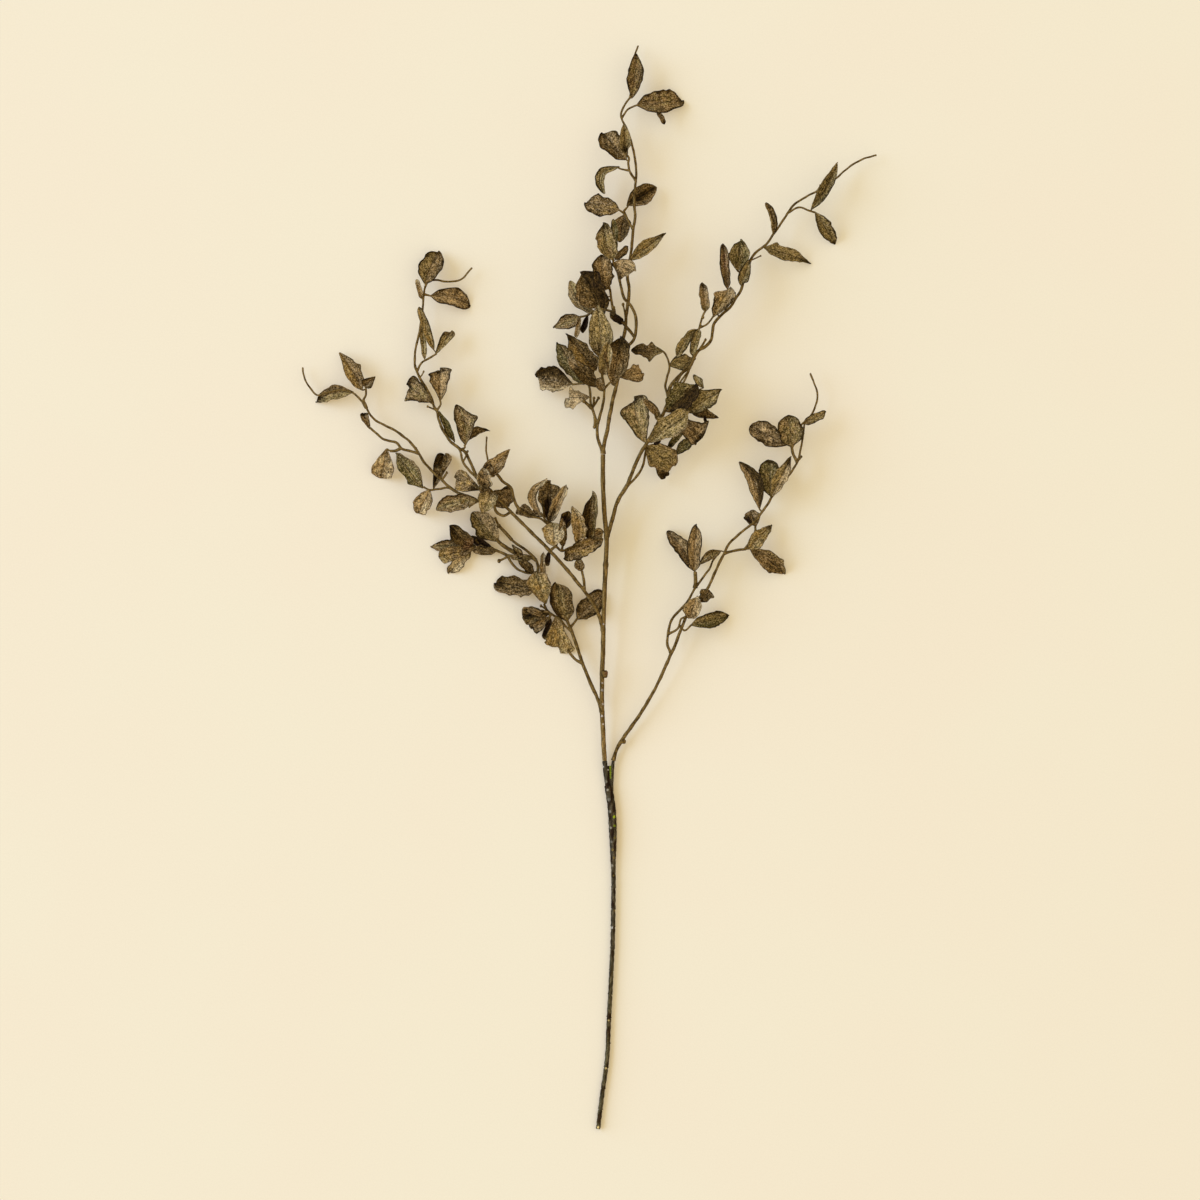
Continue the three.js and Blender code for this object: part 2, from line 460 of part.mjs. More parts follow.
// A round rod along a curve, narrowing evenly from one width to the other
function rod(curve, fromWidth, toWidth, sides, step) {
  const steps = rodSteps(curve, step);
  const outline = [];
  for (let side = 0; side < sides; side += 1) {
    const angle = (side * 2 * Math.PI) / sides;
    outline.push(new THREE.Vector2(fromWidth / 2, 0).rotateAround(new THREE.Vector2(), angle));
  }
  const section = new THREE.Shape(outline);
  const geometry = new THREE.ExtrudeGeometry(section, { steps, extrudePath: curve });
  narrow(geometry.attributes.position, curve.getSpacedPoints(steps), toWidth / fromWidth);
  return solidOf(geometry);
}

// Draws each ring of a rod in towards its own centre, more and more along the way
function narrow(positions, centres, endScale) {
  const point = new THREE.Vector3();
  for (let index = 0; index < positions.count; index += 1) {
    point.fromBufferAttribute(positions, index);
    let ring = 0;
    for (let other = 1; other < centres.length; other += 1) {
      if (point.distanceTo(centres[other]) < point.distanceTo(centres[ring])) {
        ring = other;
      }
    }
    const scale = THREE.MathUtils.lerp(1, endScale, ring / (centres.length - 1));
    point.sub(centres[ring]).multiplyScalar(scale).add(centres[ring]);
    positions.setXYZ(index, point.x, point.y, point.z);
  }
}

function curveThrough(points) {
  if (points.length === 2) {
    return new THREE.LineCurve3(points[0], points[1]);
  }
  return new THREE.CatmullRomCurve3(points, false, 'centripetal');
}

// The point of a spray's twigs that lies nearest to a place, as seen from above
function nearestSeat(samples, [across, down]) {
  let nearest = samples[0];
  let least = Infinity;
  for (const sample of samples) {
    const distance = Math.hypot(sample.x - across, sample.y + down);
    if (distance < least) {
      least = distance;
      nearest = sample;
    }
  }
  return nearest;
}

// A twig starts inside what it grows from, and keeps the heights it is given, if any
function twigPoints({ route, rise }, samples) {
  if (route[0].length === 3) {
    return route.map(lifted);
  }
  const seat = nearestSeat(samples, route[0]);
  return route.map(([across, down], index) => {
    if (index === 0) {
      return seat.clone();
    }
    const height = seat.z + (lift * rise * index) / (route.length - 1);
    return onTable([across, down, height]);
  });
}

// Where a blade's half width, laid out along its curled section, comes to at a share of it
function sectionPoint(fold, curl, reach) {
  let out = 0;
  let up = 0;
  for (let piece = 0; piece < sectionPieces; piece += 1) {
    const share = (reach * (piece + 0.5)) / sectionPieces;
    const angle = radians(fold + curl * share * share);
    out += (Math.cos(angle) * reach) / sectionPieces;
    up += (Math.sin(angle) * reach) / sectionPieces;
  }
  return { out, up };
}

// How far a blade's curled section reaches out to the side
function sectionReach(fold, curl) {
  return Math.max(...[0.5, 0.7, 0.85, 1].map((reach) => sectionPoint(fold, curl, reach).out));
}

// The half width of an outline at a place along the blade
function shareAt(outline, place) {
  const next = wideStations.findIndex((station) => station >= place);
  if (next === 0) {
    return outlines[outline][0] * (place / wideStations[0]);
  }
  const span = wideStations[next] - wideStations[next - 1];
  const part = (place - wideStations[next - 1]) / span;
  return THREE.MathUtils.lerp(outlines[outline][next - 1], outlines[outline][next], part);
}

// The middle surface of a leaf: rows of points from its tip to the twig, each from left to
// right. The first rows are the stalk.
function leafRows(row, seat, number) {
  const root = onTable([...row.base, seat.z]);
  const tip = onTable([...row.tip, Math.max(seat.z + lift * row.rise, bladeThickness / 2)]);
  const stations = [0, ...(row.width >= wideBladeFrom ? wideStations : narrowStations)];
  const shares = row.tuck === 0 ? flatShares : tuckedShares;
  const frame = frameAlong(root, tip);
  const rows = stations.map((station) => bladeRow(row, root, tip, frame, station, shares, number));
  if (seat.distanceTo(root) > longStalkFrom) {
    rows.unshift(stalkRow(seat, frameAlong(seat, root), shares));
  } else {
    rows[0] = stalkRow(seat, frame, shares);
  }
  return rows.reverse();
}

function frameAlong(from, to) {
  const along = to.clone().sub(from).normalize();
  const level = along.clone().cross(new THREE.Vector3(0, 0, 1)).normalize();
  return { level, upright: level.clone().cross(along) };
}

function stalkRow(centre, { level }, shares) {
  return shares.map((share) => centre.clone().addScaledVector(level, (share * stalkWidth) / 2));
}

function bladeRow(row, root, tip, { level, upright }, station, shares, number) {
  const lean = Math.max(Math.cos(radians(row.roll)), 0.5);
  const phase = number * rimRates.perLeaf;
  const bulge = 4 * station * (1 - station);
  const centre = root.clone().lerp(tip, station);
  centre.addScaledVector(level, row.bend * bulge).addScaledVector(upright, row.arch * bulge);
  const roll = radians(row.roll);
  const side = level.clone().multiplyScalar(Math.cos(roll));
  side.addScaledVector(upright, Math.sin(roll));
  const up = upright.clone().multiplyScalar(Math.cos(roll));
  up.addScaledVector(level, -Math.sin(roll));
  return shares.map((share) => {
    const hand = Math.sign(share);
    const curl = row.curl + Math.max(0, row.tuck * hand);
    const unevenTurn = rimRates.uneven * station + phase + rimRates.unevenByHand * hand;
    const uneven = 1 + rimUneven * Math.sin(unevenTurn);
    const seen = (row.width / 2 / lean) * shareAt(row.outline, station) * uneven;
    const half = Math.max(stalkWidth / 2, seen / sectionReach(row.fold, curl));
    const { out, up: lift } = sectionPoint(row.fold, curl, Math.abs(share));
    const waveTurn = rimRates.wave * station + phase + rimRates.waveByHand * hand;
    const wave = rimWave * share * share * Math.sin(waveTurn);
    const point = centre.clone().addScaledVector(side, hand * out * half);
    point.addScaledVector(up, lift * half + wave * Math.min(1, station * 3));
    point.z = Math.max(point.z, bladeThickness / 2);
    return point;
  });
}

function surfaceNormal(rows, rowIndex, index) {
  const row = rows[rowIndex];
  const right = row[Math.min(index + 1, row.length - 1)].clone().sub(row[Math.max(index - 1, 0)]);
  const tipward = rows[Math.max(rowIndex - 1, 0)][index].clone();
  tipward.sub(rows[Math.min(rowIndex + 1, rows.length - 1)][index]);
  return right.cross(tipward).normalize();
}

// A closed blade of even thickness. Both faces take the same triangles, so a waved blade
// never cuts through itself.
function sheetSolid(rows) {
  const across = rows[0].length - 1;
  const down = rows.length - 1;
  const sheet = new THREE.PlaneGeometry(1, 1, across, down);
  const count = sheet.attributes.position.count;
  const points = new Float32Array(count * 6);
  rows.forEach((row, rowIndex) => row.forEach((point, index) => {
    const offset = surfaceNormal(rows, rowIndex, index).multiplyScalar(bladeThickness / 2);
    const vertex = rowIndex * (across + 1) + index;
    point.clone().add(offset).toArray(points, vertex * 3);
    point.clone().sub(offset).toArray(points, (vertex + count) * 3);
  }));
  const faces = Array.from(sheet.index.array);
  const triangles = [...faces];
  for (let face = 0; face < faces.length; face += 3) {
    triangles.push(faces[face + 2] + count, faces[face + 1] + count, faces[face] + count);
  }
  const rim = rimOrder(across, down);
  rim.forEach((vertex, index) => {
    const next = rim[(index + 1) % rim.length];
    triangles.push(next, vertex, vertex + count, next, vertex + count, next + count);
  });
  const geometry = new THREE.BufferGeometry();
  geometry.setAttribute('position', new THREE.BufferAttribute(points, 3));
  geometry.setIndex(triangles);
  return solidOf(geometry);
}

// The vertices round the edge of a sheet, anticlockwise from its upper left corner
function rimOrder(across, down) {
  const order = [];
  for (let row = 0; row < down; row += 1) {
    order.push(row * (across + 1));
  }
  for (let column = 0; column < across; column += 1) {
    order.push(down * (across + 1) + column);
  }
  for (let row = down; row > 0; row -= 1) {
    order.push(row * (across + 1) + across);
  }
  for (let column = across; column > 0; column -= 1) {
    order.push(column);
  }
  return order;
}

function budSolid([across, down, size], samples) {
  const seat = nearestSeat(samples, [across, down]);
  const geometry = new THREE.IcosahedronGeometry(size / 2, 0);
  geometry.translate(seat.x, seat.y, seat.z);
  return solidOf(geometry);
}

function fused(solids) {
  const whole = wasm.Manifold.union(solids).simplify(cleanEdge);
  const pieces = whole.decompose();
  pieces.sort((one, other) => other.volume() - one.volume());
  return pieces[0];
}

function spraySolid({ twigs, leaves, buds = [] }) {
  const samples = [];
  const solids = [];
  for (const row of twigs) {
    const curve = curveThrough(twigPoints(row, samples));
    const sides = twigSides.find(([least]) => row.fromWidth >= least)[1];
    solids.push(rod(curve, row.fromWidth, row.toWidth, sides, twigStep));
    samples.push(...seatsAlong(curve.getSpacedPoints(rodSteps(curve, twigStep))));
  }
  leaves.forEach((row, number) => {
    const seat = nearestSeat(samples, row.base);
    solids.push(sheetSolid(leafRows(row, seat, number)));
  });
  buds.forEach((row) => solids.push(budSolid(row, samples)));
  return fused(solids);
}

function mainStemRod(extraWidth) {
  const curve = curveThrough(mainStem.map(lifted));
  const width = mainStemWidth + extraWidth;
  return rod(curve, width, width, stemSides, stemStep);
}

function swelling(place, size) {
  const centre = lifted(place);
  const geometry = new THREE.IcosahedronGeometry(size / 2, 0);
  geometry.translate(centre.x, centre.y, centre.z);
  return solidOf(geometry);
}

function mainStemSolid() {
  const bud = swelling(mainStemBud, mainStemBudSize);
  const node = swelling(mainStemNode, mainStemNodeSize);
  return fused([mainStemRod(0), bud, node]);
}

// The lower stem, with a thicker sleeve below its fork, cut off flat where it lies
function lowerStemSolid() {
  const part = (route, from, to, sides) => {
    return rod(curveThrough(route.map(onTable)), from, to, sides, stemStep);
  };
  const whole = fused([
    part(lowerStem.foot, lowerStemWidth, lowerStemWidth, stemSides),
    part(lowerStem.collar, lowerStemWidth, sleeveWidth, sleeveSides),
    part(lowerStem.sleeve, sleeveWidth, sleeveWidth, sleeveSides),
    part(lowerStem.leftArm, lowerStemWidth, mainStemWidth, stemSides),
    part(lowerStem.rightArm, ...rightArmWidths, stemSides),
  ]);
  const table = new THREE.BoxGeometry(belowTable.across, belowTable.along, belowTable.deep);
  table.translate(belowTable.middle[0], -belowTable.middle[1], -belowTable.deep / 2);
  return fused([whole.subtract(solidOf(table))]);
}

function meshOf(name, solid) {
  const shape = solid.getMesh();
  const geometry = new THREE.BufferGeometry();
  geometry.setAttribute('position', new THREE.BufferAttribute(shape.vertProperties, 3));
  geometry.setIndex(Array.from(shape.triVerts));
  const material = new THREE.MeshStandardMaterial({ ...looks[name], metalness: 0 });
  const mesh = new THREE.Mesh(geometry, material);
  mesh.name = name;
  return mesh;
}

const mainStemRoom = mainStemRod(2 * pieceGap);
const stem = new THREE.Group();
stem.add(meshOf('lower_stem', lowerStemSolid()));
stem.add(meshOf('main_stem', mainStemSolid()));
stem.add(meshOf('centre_spray', spraySolid(centreSpray)));
stem.add(meshOf('lower_right_spray', spraySolid(lowerRightSpray)));
const sideSprays = {
  upper_right_spray: upperRightSpray,
  left_spray: leftSpray,
  lower_left_spray: lowerLeftSpray,
};
for (const [name, spray] of Object.entries(sideSprays)) {
  stem.add(meshOf(name, fused([spraySolid(spray).subtract(mainStemRoom)])));
}

const box = new THREE.Box3().setFromObject(stem);
const middle = box.getCenter(new THREE.Vector3());
stem.position.set(-middle.x, -middle.y, -box.min.z);

export default stem;
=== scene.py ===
import math

import bpy
import numpy as np
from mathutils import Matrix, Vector, noise


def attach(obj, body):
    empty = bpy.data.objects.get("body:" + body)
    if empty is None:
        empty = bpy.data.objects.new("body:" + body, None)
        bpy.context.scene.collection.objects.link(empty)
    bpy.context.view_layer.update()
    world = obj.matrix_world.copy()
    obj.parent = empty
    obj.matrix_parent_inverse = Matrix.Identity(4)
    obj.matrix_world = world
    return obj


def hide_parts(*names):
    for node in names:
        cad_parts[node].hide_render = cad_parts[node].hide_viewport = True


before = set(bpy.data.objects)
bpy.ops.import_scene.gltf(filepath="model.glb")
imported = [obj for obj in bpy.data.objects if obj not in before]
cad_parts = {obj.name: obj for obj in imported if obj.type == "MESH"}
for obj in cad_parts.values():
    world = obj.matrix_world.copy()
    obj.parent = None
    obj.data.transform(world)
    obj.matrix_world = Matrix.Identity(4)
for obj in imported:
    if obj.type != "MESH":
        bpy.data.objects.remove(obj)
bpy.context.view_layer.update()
print("frame loaded")

drawing = {
    "across": 589.032,      # the origin's place on the drawing
    "down": 587.985,
    "forkHeight": 6.3,      # past its fork the stem rises more steeply than its rows say
    "lift": 1.9,
}
mm = 0.001

# Finishes as linear red, green and blue
tones = {
    "olive": (0.178, 0.123, 0.034),
    "pale": (0.262, 0.182, 0.058),
    "brown": (0.172, 0.103, 0.031),
    "umber": (0.096, 0.056, 0.013),
    "dark": (0.020, 0.010, 0.001),
    "moss": (0.112, 0.086, 0.019),
    "golden": (0.275, 0.168, 0.040),
    "pink": (0.315, 0.205, 0.080),
    "beige": (0.440, 0.325, 0.155),
    "redBrown": (0.175, 0.082, 0.030),
    "green": (0.205, 0.260, 0.012),
    "chalk": (0.400, 0.360, 0.310),
    "slate": (0.060, 0.047, 0.026),
    "ash": (0.150, 0.128, 0.088),
    "tan": (0.205, 0.126, 0.040),
    "bark": (0.155, 0.096, 0.027),
    "deepBark": (0.070, 0.040, 0.009),
}
darkest = 0.004
# Painted shade on rods: the share kept where a surface faces down, what is added towards the top,
# and the facing it spans
flank = {"shade": 0.28, "gain": 0.82, "facing": (0.05, 0.9)}
sharpFrom = math.radians(60)


def drawn(points):   # drawing places to millimetres round the stem's own origin
    places = np.array(points, float)
    places[:, 0] -= drawing["across"]
    places[:, 1] = drawing["down"] - places[:, 1]
    return places


def lifted(points):   # places past the fork, at the heights that the stem's lift gives them
    places = drawn(points)
    over = np.maximum(0, places[:, 2] - drawing["forkHeight"])
    places[:, 2] += (drawing["lift"] - 1) * over
    return places


def ramp(values, start, end):   # 0 before start, 1 after end, smooth between
    share = np.clip((values - start) / (end - start), 0, 1)
    return share * share * (3 - 2 * share)


def hump(values, middle, reach):   # 1 at the middle, and next to nothing past twice the reach
    return np.exp(-(((values - middle) / reach) ** 2))


def cloud(places, size, seed=0.0):   # soft lumps about size across, from -1 to 1
    offset = Vector((seed, seed * 0.7, -seed))
    return np.array([noise.noise(Vector(place) / size + offset) for place in places])


def smoothRoute(points, step):   # a rounded line through points, with a place about every step
    points = [np.array(point, float) for point in points]
    ends = [2 * points[0] - points[1], *points, 2 * points[-1] - points[-2]]
    line = [points[0]]
    for before, here, there, after in zip(ends, ends[1:], ends[2:], ends[3:]):
        gaps = [math.sqrt(max(np.linalg.norm(end - start), 1e-6))
                for start, end in ((before, here), (here, there), (there, after))]
        leave = (here - before) / gaps[0] - (there - before) / (gaps[0] + gaps[1])
        leave = (leave + (there - here) / gaps[1]) * gaps[1]
        arrive = (after - there) / gaps[2] - (after - here) / (gaps[1] + gaps[2])
        arrive = (arrive + (there - here) / gaps[1]) * gaps[1]
        count = max(1, math.ceil(np.linalg.norm(there - here) / step))
        for t in np.arange(1, count + 1) / count:
            line.append((2 * t**3 - 3 * t**2 + 1) * here + (t**3 - 2 * t**2 + t) * leave
                        + (3 * t**2 - 2 * t**3) * there + (t**3 - t**2) * arrive)
    return np.array(line)


def pick(*objects):   # these objects are the selected ones, and the last is active
    bpy.ops.object.select_all(action="DESELECT")
    for item in objects:
        item.select_set(True)
    bpy.context.view_layer.objects.active = objects[-1]


def joined(objects, name):
    pick(*objects)
    bpy.ops.object.join()
    whole = bpy.context.active_object
    whole.name = name
    whole.data.name = name
    return whole


def applied(piece, kind, **settings):   # one modifier, set and applied
    pick(piece)
    modifier = piece.modifiers.new(kind.lower(), kind)
    for setting, value in settings.items():
        setattr(modifier, setting, value)
    bpy.ops.object.modifier_apply(modifier=modifier.name)


def vectors(items, field):   # one row for each item
    values = np.zeros(len(items) * 3)
    items.foreach_get(field, values)
    return values.reshape(-1, 3)


def meshPlaces(piece):   # in millimetres
    return vectors(piece.data.vertices, "co") / mm


def movePlaces(piece, places):
    piece.data.vertices.foreach_set("co", (places * mm).ravel())
    piece.data.update()


def paint(piece, colours):   # a colour for every point of a mesh
    layer = piece.data.color_attributes.new("tone", "FLOAT_COLOR", "POINT")
    layer.data.foreach_set("color", np.c_[colours, np.ones(len(colours))].ravel())


def blended(one, other, mask):   # colours that go from one to the other where the mask is 1
    return one * (1 - mask) + mask * np.array(other)


def patched(colours, places, patches, core, lumps=0):   # round patches, as seen from above
    for across, down, reach, tone in patches:
        gaps = np.hypot(*(places[:, :2] - drawn([(across, down, 0)])[0][:2]).T)
        mask = 1 - ramp(gaps + reach * 0.3 * lumps, reach * core, reach)
        colours = blended(colours, tones[tone], mask[:, None])
    return colours


def paintedFlankShade(piece):   # painted shade: a rod grows darker on its sides and underside, the less its surface faces up
    upward = vectors(piece.data.vertex_normals, "vector")[:, 2:]
    return flank["shade"] + flank["gain"] * ramp(upward, *flank["facing"])


def shown(piece, node, slot, *materials):   # dresses a finished piece, hangs it on the root body and hides the frame part that it stands for
    for material in materials:
        piece.data.materials.append(material)
    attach(piece, "root")
    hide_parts(node)


# Leaves and bark: materials


class Maker:   # adds nodes to one material; sizes are in millimetres
    def __init__(self, name):
        self.material = bpy.data.materials.new(name)
        self.material.use_nodes = True
        self.tree = self.material.node_tree
        self.place = self.add("TexCoord", {}, "Object")

    def feed(self, node, inputs):   # a value or another node's output, for each input
        for name, value in inputs.items():
            if isinstance(value, bpy.types.NodeSocket):
                self.tree.links.new(value, node.inputs[name])
            else:
                node.inputs[name].default_value = value

    def add(self, kind, inputs, output=0, **settings):
        node = self.tree.nodes.new("ShaderNode" + kind)
        for setting, value in settings.items():
            setattr(node, setting, value)
        self.feed(node, inputs)
        return node.outputs[output]

    def noise(self, size, detail, rough, stretch=(1, 1, 1)):
        vector = self.add("Mapping", {"Vector": self.place, "Scale": stretch})
        return self.add("TexNoise", {"Vector": vector, "Scale": 1 / (size * mm), "Detail": detail,
                                     "Roughness": rough}, "Fac")

    def streaks(self, place, counts):   # noise drawn out along the second way of the place
        vector = self.add("Mapping", {"Vector": place, "Scale": (*counts, 1)})
        warp = self.times(self.noise(9, 2, 0.5), 5.0)
        bent = self.add("VectorMath", {0: vector, 1: warp}, operation="ADD")
        return self.add("TexNoise", {"Vector": bent, "Scale": 1, "Detail": 3, "Roughness": 0.6},
                        "Fac")

    def specks(self, size):   # distance to the nearest speck's middle
        return self.add("TexVoronoi", {"Vector": self.place, "Scale": 1 / (size * mm)}, "Distance")

    def spread(self, value, fromLow, fromHigh, low, high):
        return self.add("MapRange", {"Value": value, 1: fromLow, 2: fromHigh, 3: low, 4: high},
                        "Result", interpolation_type="SMOOTHSTEP")

    def reckon(self, operation, *values):
        return self.add("Math", dict(enumerate(values)), operation=operation)

    def chain(self, operation, values):
        total = values[0]
        for value in values[1:]:
            total = self.reckon(operation, total, value)
        return total

    def times(self, *values):
        return self.chain("MULTIPLY", values)

    def plus(self, *values):
        return self.chain("ADD", values)

    def mix(self, factor, one, other):
        return self.add("Mix", {"Factor": factor, 6: one, 7: (*other, 1)}, 2,
                        data_type="RGBA", blend_type="MIX")

    def shade(self, colour, value):   # a colour made lighter or darker by a value
        return self.add("VectorMath", {0: colour, "Scale": value}, operation="SCALE")

    def tone(self, output="Color"):   # what paint has given the mesh
        return self.add("Attribute", {}, output, attribute_name="tone")

    def finish(self, colour, roughness, specular, **others):
        shader = self.tree.nodes["Principled BSDF"]
        self.feed(shader, {"Base Color": colour, "Roughness": roughness,
                           "Specular IOR Level": specular, **others})
        return self.material

    def rough(self, colour, roughness, specular, height, depth):
        normal = self.add("Bump", {"Strength": 1, "Distance": depth * mm, "Height": height})
        return self.finish(colour, roughness, specular, Normal=normal)


# A pattern is spread from two of its values to two shades: (from, from, to, to)
leafFinish = {
    "front": {"lightness": 1.18, "veins": 1.25, "grainDepth": 0.7, "dust": 0.9, "frostAndHighlight": 0.82},
    "back": {"lightness": 1.3, "veins": 0.8, "grainDepth": 0.8, "dust": 0.9, "frostAndHighlight": 0.9},
    "mottle": (3.0, 4, 0.62),   # size, detail and roughness
    "grain": (1.25, 3, 0.7),
    "speckSize": 1.5,
    "pitSize": 2.55,
    "veinCount": 15,
    "veinSlant": 3.4,
    "ribShade": 0.62,
    "wrinkles": (15, 3.2),      # across a blade and along it
    "mottleShade": (0.3, 0.7, 0.6, 1.45),
    "grainShade": (0.36, 0.66, 0.26, 1.75),
    "wrinkleShade": (0.38, 0.62, 0.42, 1.5),
    "pitShade": (0.08, 0.2, 0.45, 1),
    "bare": (0.015, 0.09, 0.05, 1),        # dark parts stay bare
    "frostGrain": (0.46, 0.64, 0, 1),
    "frostWrinkle": (0.4, 0.6, 0.15, 1),
    "dustSpeck": (0.14, 0.34, 1, 0),
    "dustMottle": (0.42, 0.62, 0.05, 1),
    "dustTone": (0.47, 0.375, 0.235),
    "frostTone": (0.37, 0.275, 0.165),     # greyish pink, on the high parts of wrinkles: partly frosting, partly a painted highlight
    "roughness": (0.3, 0.7, 0.92, 0.62),
    "specular": 0.03,
}


def leafMaterial(name):
    look = {**leafFinish, **leafFinish[name]}
    made = Maker("leaf" + name.title())
    mottle = made.noise(*look["mottle"])
    grain = made.noise(*look["grain"])
    uv = made.add("TexCoord", {}, "UV")
    wrinkle = made.streaks(uv, look["wrinkles"])
    away = made.reckon("ABSOLUTE", made.plus(made.add("SeparateXYZ", {0: uv}, "X"), -0.5))
    slanted = made.plus(made.times(made.add("SeparateXYZ", {0: uv}, "Y"), look["veinCount"]),
                        made.times(away, -look["veinSlant"]), made.times(mottle, 0.6))
    vein = made.spread(made.reckon("PINGPONG", slanted, 0.5), 0.0, 0.16, 1, 0)
    rib = made.spread(away, 0.012, 0.05, 1, 0)
    colour = made.tone()
    for pattern, shade in ((mottle, "mottleShade"), (grain, "grainShade"),
                           (wrinkle, "wrinkleShade")):
        colour = made.shade(colour, made.spread(pattern, *look[shade]))
    bare = made.spread(made.tone("Fac"), *look["bare"])
    # Frost on the grain and the wrinkle ridges: partly pale frosting, partly a painted highlight
    frostAndHighlight = made.times(made.spread(grain, *look["frostGrain"]),
                       made.spread(wrinkle, *look["frostWrinkle"]), bare, look["frostAndHighlight"])
    colour = made.mix(frostAndHighlight, colour, look["frostTone"])
    colour = made.shade(colour, made.spread(vein, 0, 1, 1, look["veins"]))
    colour = made.shade(colour, made.spread(rib, 0, 1, 1, look["ribShade"]))
    dust = made.times(made.spread(made.specks(look["speckSize"]), *look["dustSpeck"]),
                      made.spread(mottle, *look["dustMottle"]), bare, look["dust"])
    colour = made.mix(dust, colour, look["dustTone"])
    colour = made.shade(colour, made.spread(made.specks(look["pitSize"]), *look["pitShade"]))
    colour = made.shade(colour, look["lightness"])
    height = made.plus(made.times(grain, 0.6), made.times(mottle, 0.5),
                       made.times(wrinkle, 0.9), made.times(vein, 0.18))
    return made.rough(colour, made.spread(mottle, *look["roughness"]), look["specular"],
                      height, look["grainDepth"])


barkFinish = {
    "twig": {"streak": (1, 1, 1), "dust": 0.30, "depth": 0.35, "contrast": (0.55, 1.5)},
    "main": {"streak": (1, 0.22, 1), "dust": 0.5, "depth": 0.4, "contrast": (0.5, 1.55)},
    "lower": {"streak": (1, 0.3, 1), "dust": 0.25, "depth": 0.35, "contrast": (0.45, 1.7)},
    "streaks": (2.6, 4, 0.65),   # size, detail and roughness
    "grain": (0.9, 3, 0.7),
    "speckSize": 1.6,
    "grainShade": (0.34, 0.66, 0.5, 1.55),
    "dustSpeck": (0.12, 0.28, 1, 0),
    "dustStreak": (0.45, 0.65, 0, 1),
    "dustTone": (0.40, 0.34, 0.25),
    "roughness": (0.3, 0.7, 0.85, 0.5),
    "specular": 0.05,
}


def barkMaterial(name):
    look = {**barkFinish, **barkFinish[name]}
    made = Maker(name + "Bark")
    streak = made.noise(*look["streaks"], look["streak"])
    grain = made.noise(*look["grain"])
    colour = made.shade(made.tone(), made.spread(streak, 0.3, 0.7, *look["contrast"]))
    colour = made.shade(colour, made.spread(grain, *look["grainShade"]))
    dust = made.times(made.spread(made.specks(look["speckSize"]), *look["dustSpeck"]),
                      made.spread(streak, *look["dustStreak"]), look["dust"])
    colour = made.mix(dust, colour, look["dustTone"])
    return made.rough(colour, made.spread(grain, *look["roughness"]), look["specular"],
                      made.plus(made.times(grain, 0.5), streak), look["depth"])


leafFront, leafBack = leafMaterial("front"), leafMaterial("back")
twigBark, mainBark, lowerBark = [barkMaterial(name) for name in ("twig", "main", "lower")]
print("materials made")


# Twigs, stalks and buds

twigLook = {
    "step": 1.5,
    "lumps": 0.16,          # how far the width comes and goes
    "lumpSize": 5.0,
    "wander": 0.35,         # how far a twig strays from its line
    "wanderSize": 7.0,
    "collar": 0.35,         # extra width where a twig leaves another
    "collarReach": 3.0,
    "bark": 0.6,            # how much wider the bark makes a rod
    "stalkWidth": 1.6,
    "ribEnd": 0.55,         # how far a stalk goes on under its leaf
    "ribPoints": 8,
    "stubBend": (0.4, 0, 0.3),
    "stubRise": 1,
    "stubTaper": 0.85,
    "knobLumps": 0.28,
    "knobForm": (0.92, 1.12, 0.92),
    "lowest": 0.1,
    "tone": "bark",
    "knotTone": "deepBark",
}


def twig(fromWidth, toWidth, rise, *route):
    return {"route": route, "from": fromWidth, "to": toWidth, "rise": rise}


def nearest(seats, place):   # the twig point nearest to a place as seen from above
    gaps = np.hypot(seats[:, 0] - place[0], seats[:, 1] - place[1])
    return seats[np.argmin(gaps)]


def twigLine(row, seats):   # keeps the heights that it is given, or rises from what it grows from
    if len(row["route"][0]) == 3:
        return smoothRoute(lifted(row["route"]), twigLook["step"])
    places = drawn([(*place, 0) for place in row["route"]])
    seat = nearest(seats, places[0])
    places[0] = seat
    places[:, 2] = seat[2] + drawing["lift"] * row["rise"] * np.linspace(0, 1, len(places))
    return smoothRoute(places, twigLook["step"])


def rodsObject(name, rods):   # round rods along lines, each with its own widths
    curve = bpy.data.curves.new(name, "CURVE")
    curve.dimensions = "3D"
    curve.bevel_depth = mm
    curve.bevel_resolution = 3
    curve.use_fill_caps = True
    for line, widths in rods:
        spline = curve.splines.new("POLY")
        spline.points.add(len(line) - 1)
        for point, place, width in zip(spline.points, line, widths):
            point.co = (*(place * mm), 1)
            point.radius = width / 2
    item = bpy.data.objects.new(name, curve)
    bpy.context.collection.objects.link(item)
    pick(item)
    bpy.ops.object.convert(target="MESH")
    return bpy.context.active_object


def twigWidths(line, row, seed):
    walked = np.r_[0, np.cumsum(np.linalg.norm(np.diff(line, axis=0), axis=1))]
    widths = row["from"] + (row["to"] - row["from"]) * walked / walked[-1] + twigLook["bark"]
    widths *= 1 + twigLook["lumps"] * cloud(line, twigLook["lumpSize"], seed)
    return widths * (1 + twigLook["collar"] * hump(walked, 0, twigLook["collarReach"]))


def knob(place, size, seed):   # a small uneven lump, longer than wide
    bpy.ops.mesh.primitive_ico_sphere_add(subdivisions=3, radius=size / 2 * mm)
    lump = bpy.context.active_object
    places = meshPlaces(lump)
    places *= (1 + twigLook["knobLumps"] * cloud(places, size * 0.45, seed))[:, None]
    movePlaces(lump, places * twigLook["knobForm"] + place)
    return lump


# Leaves

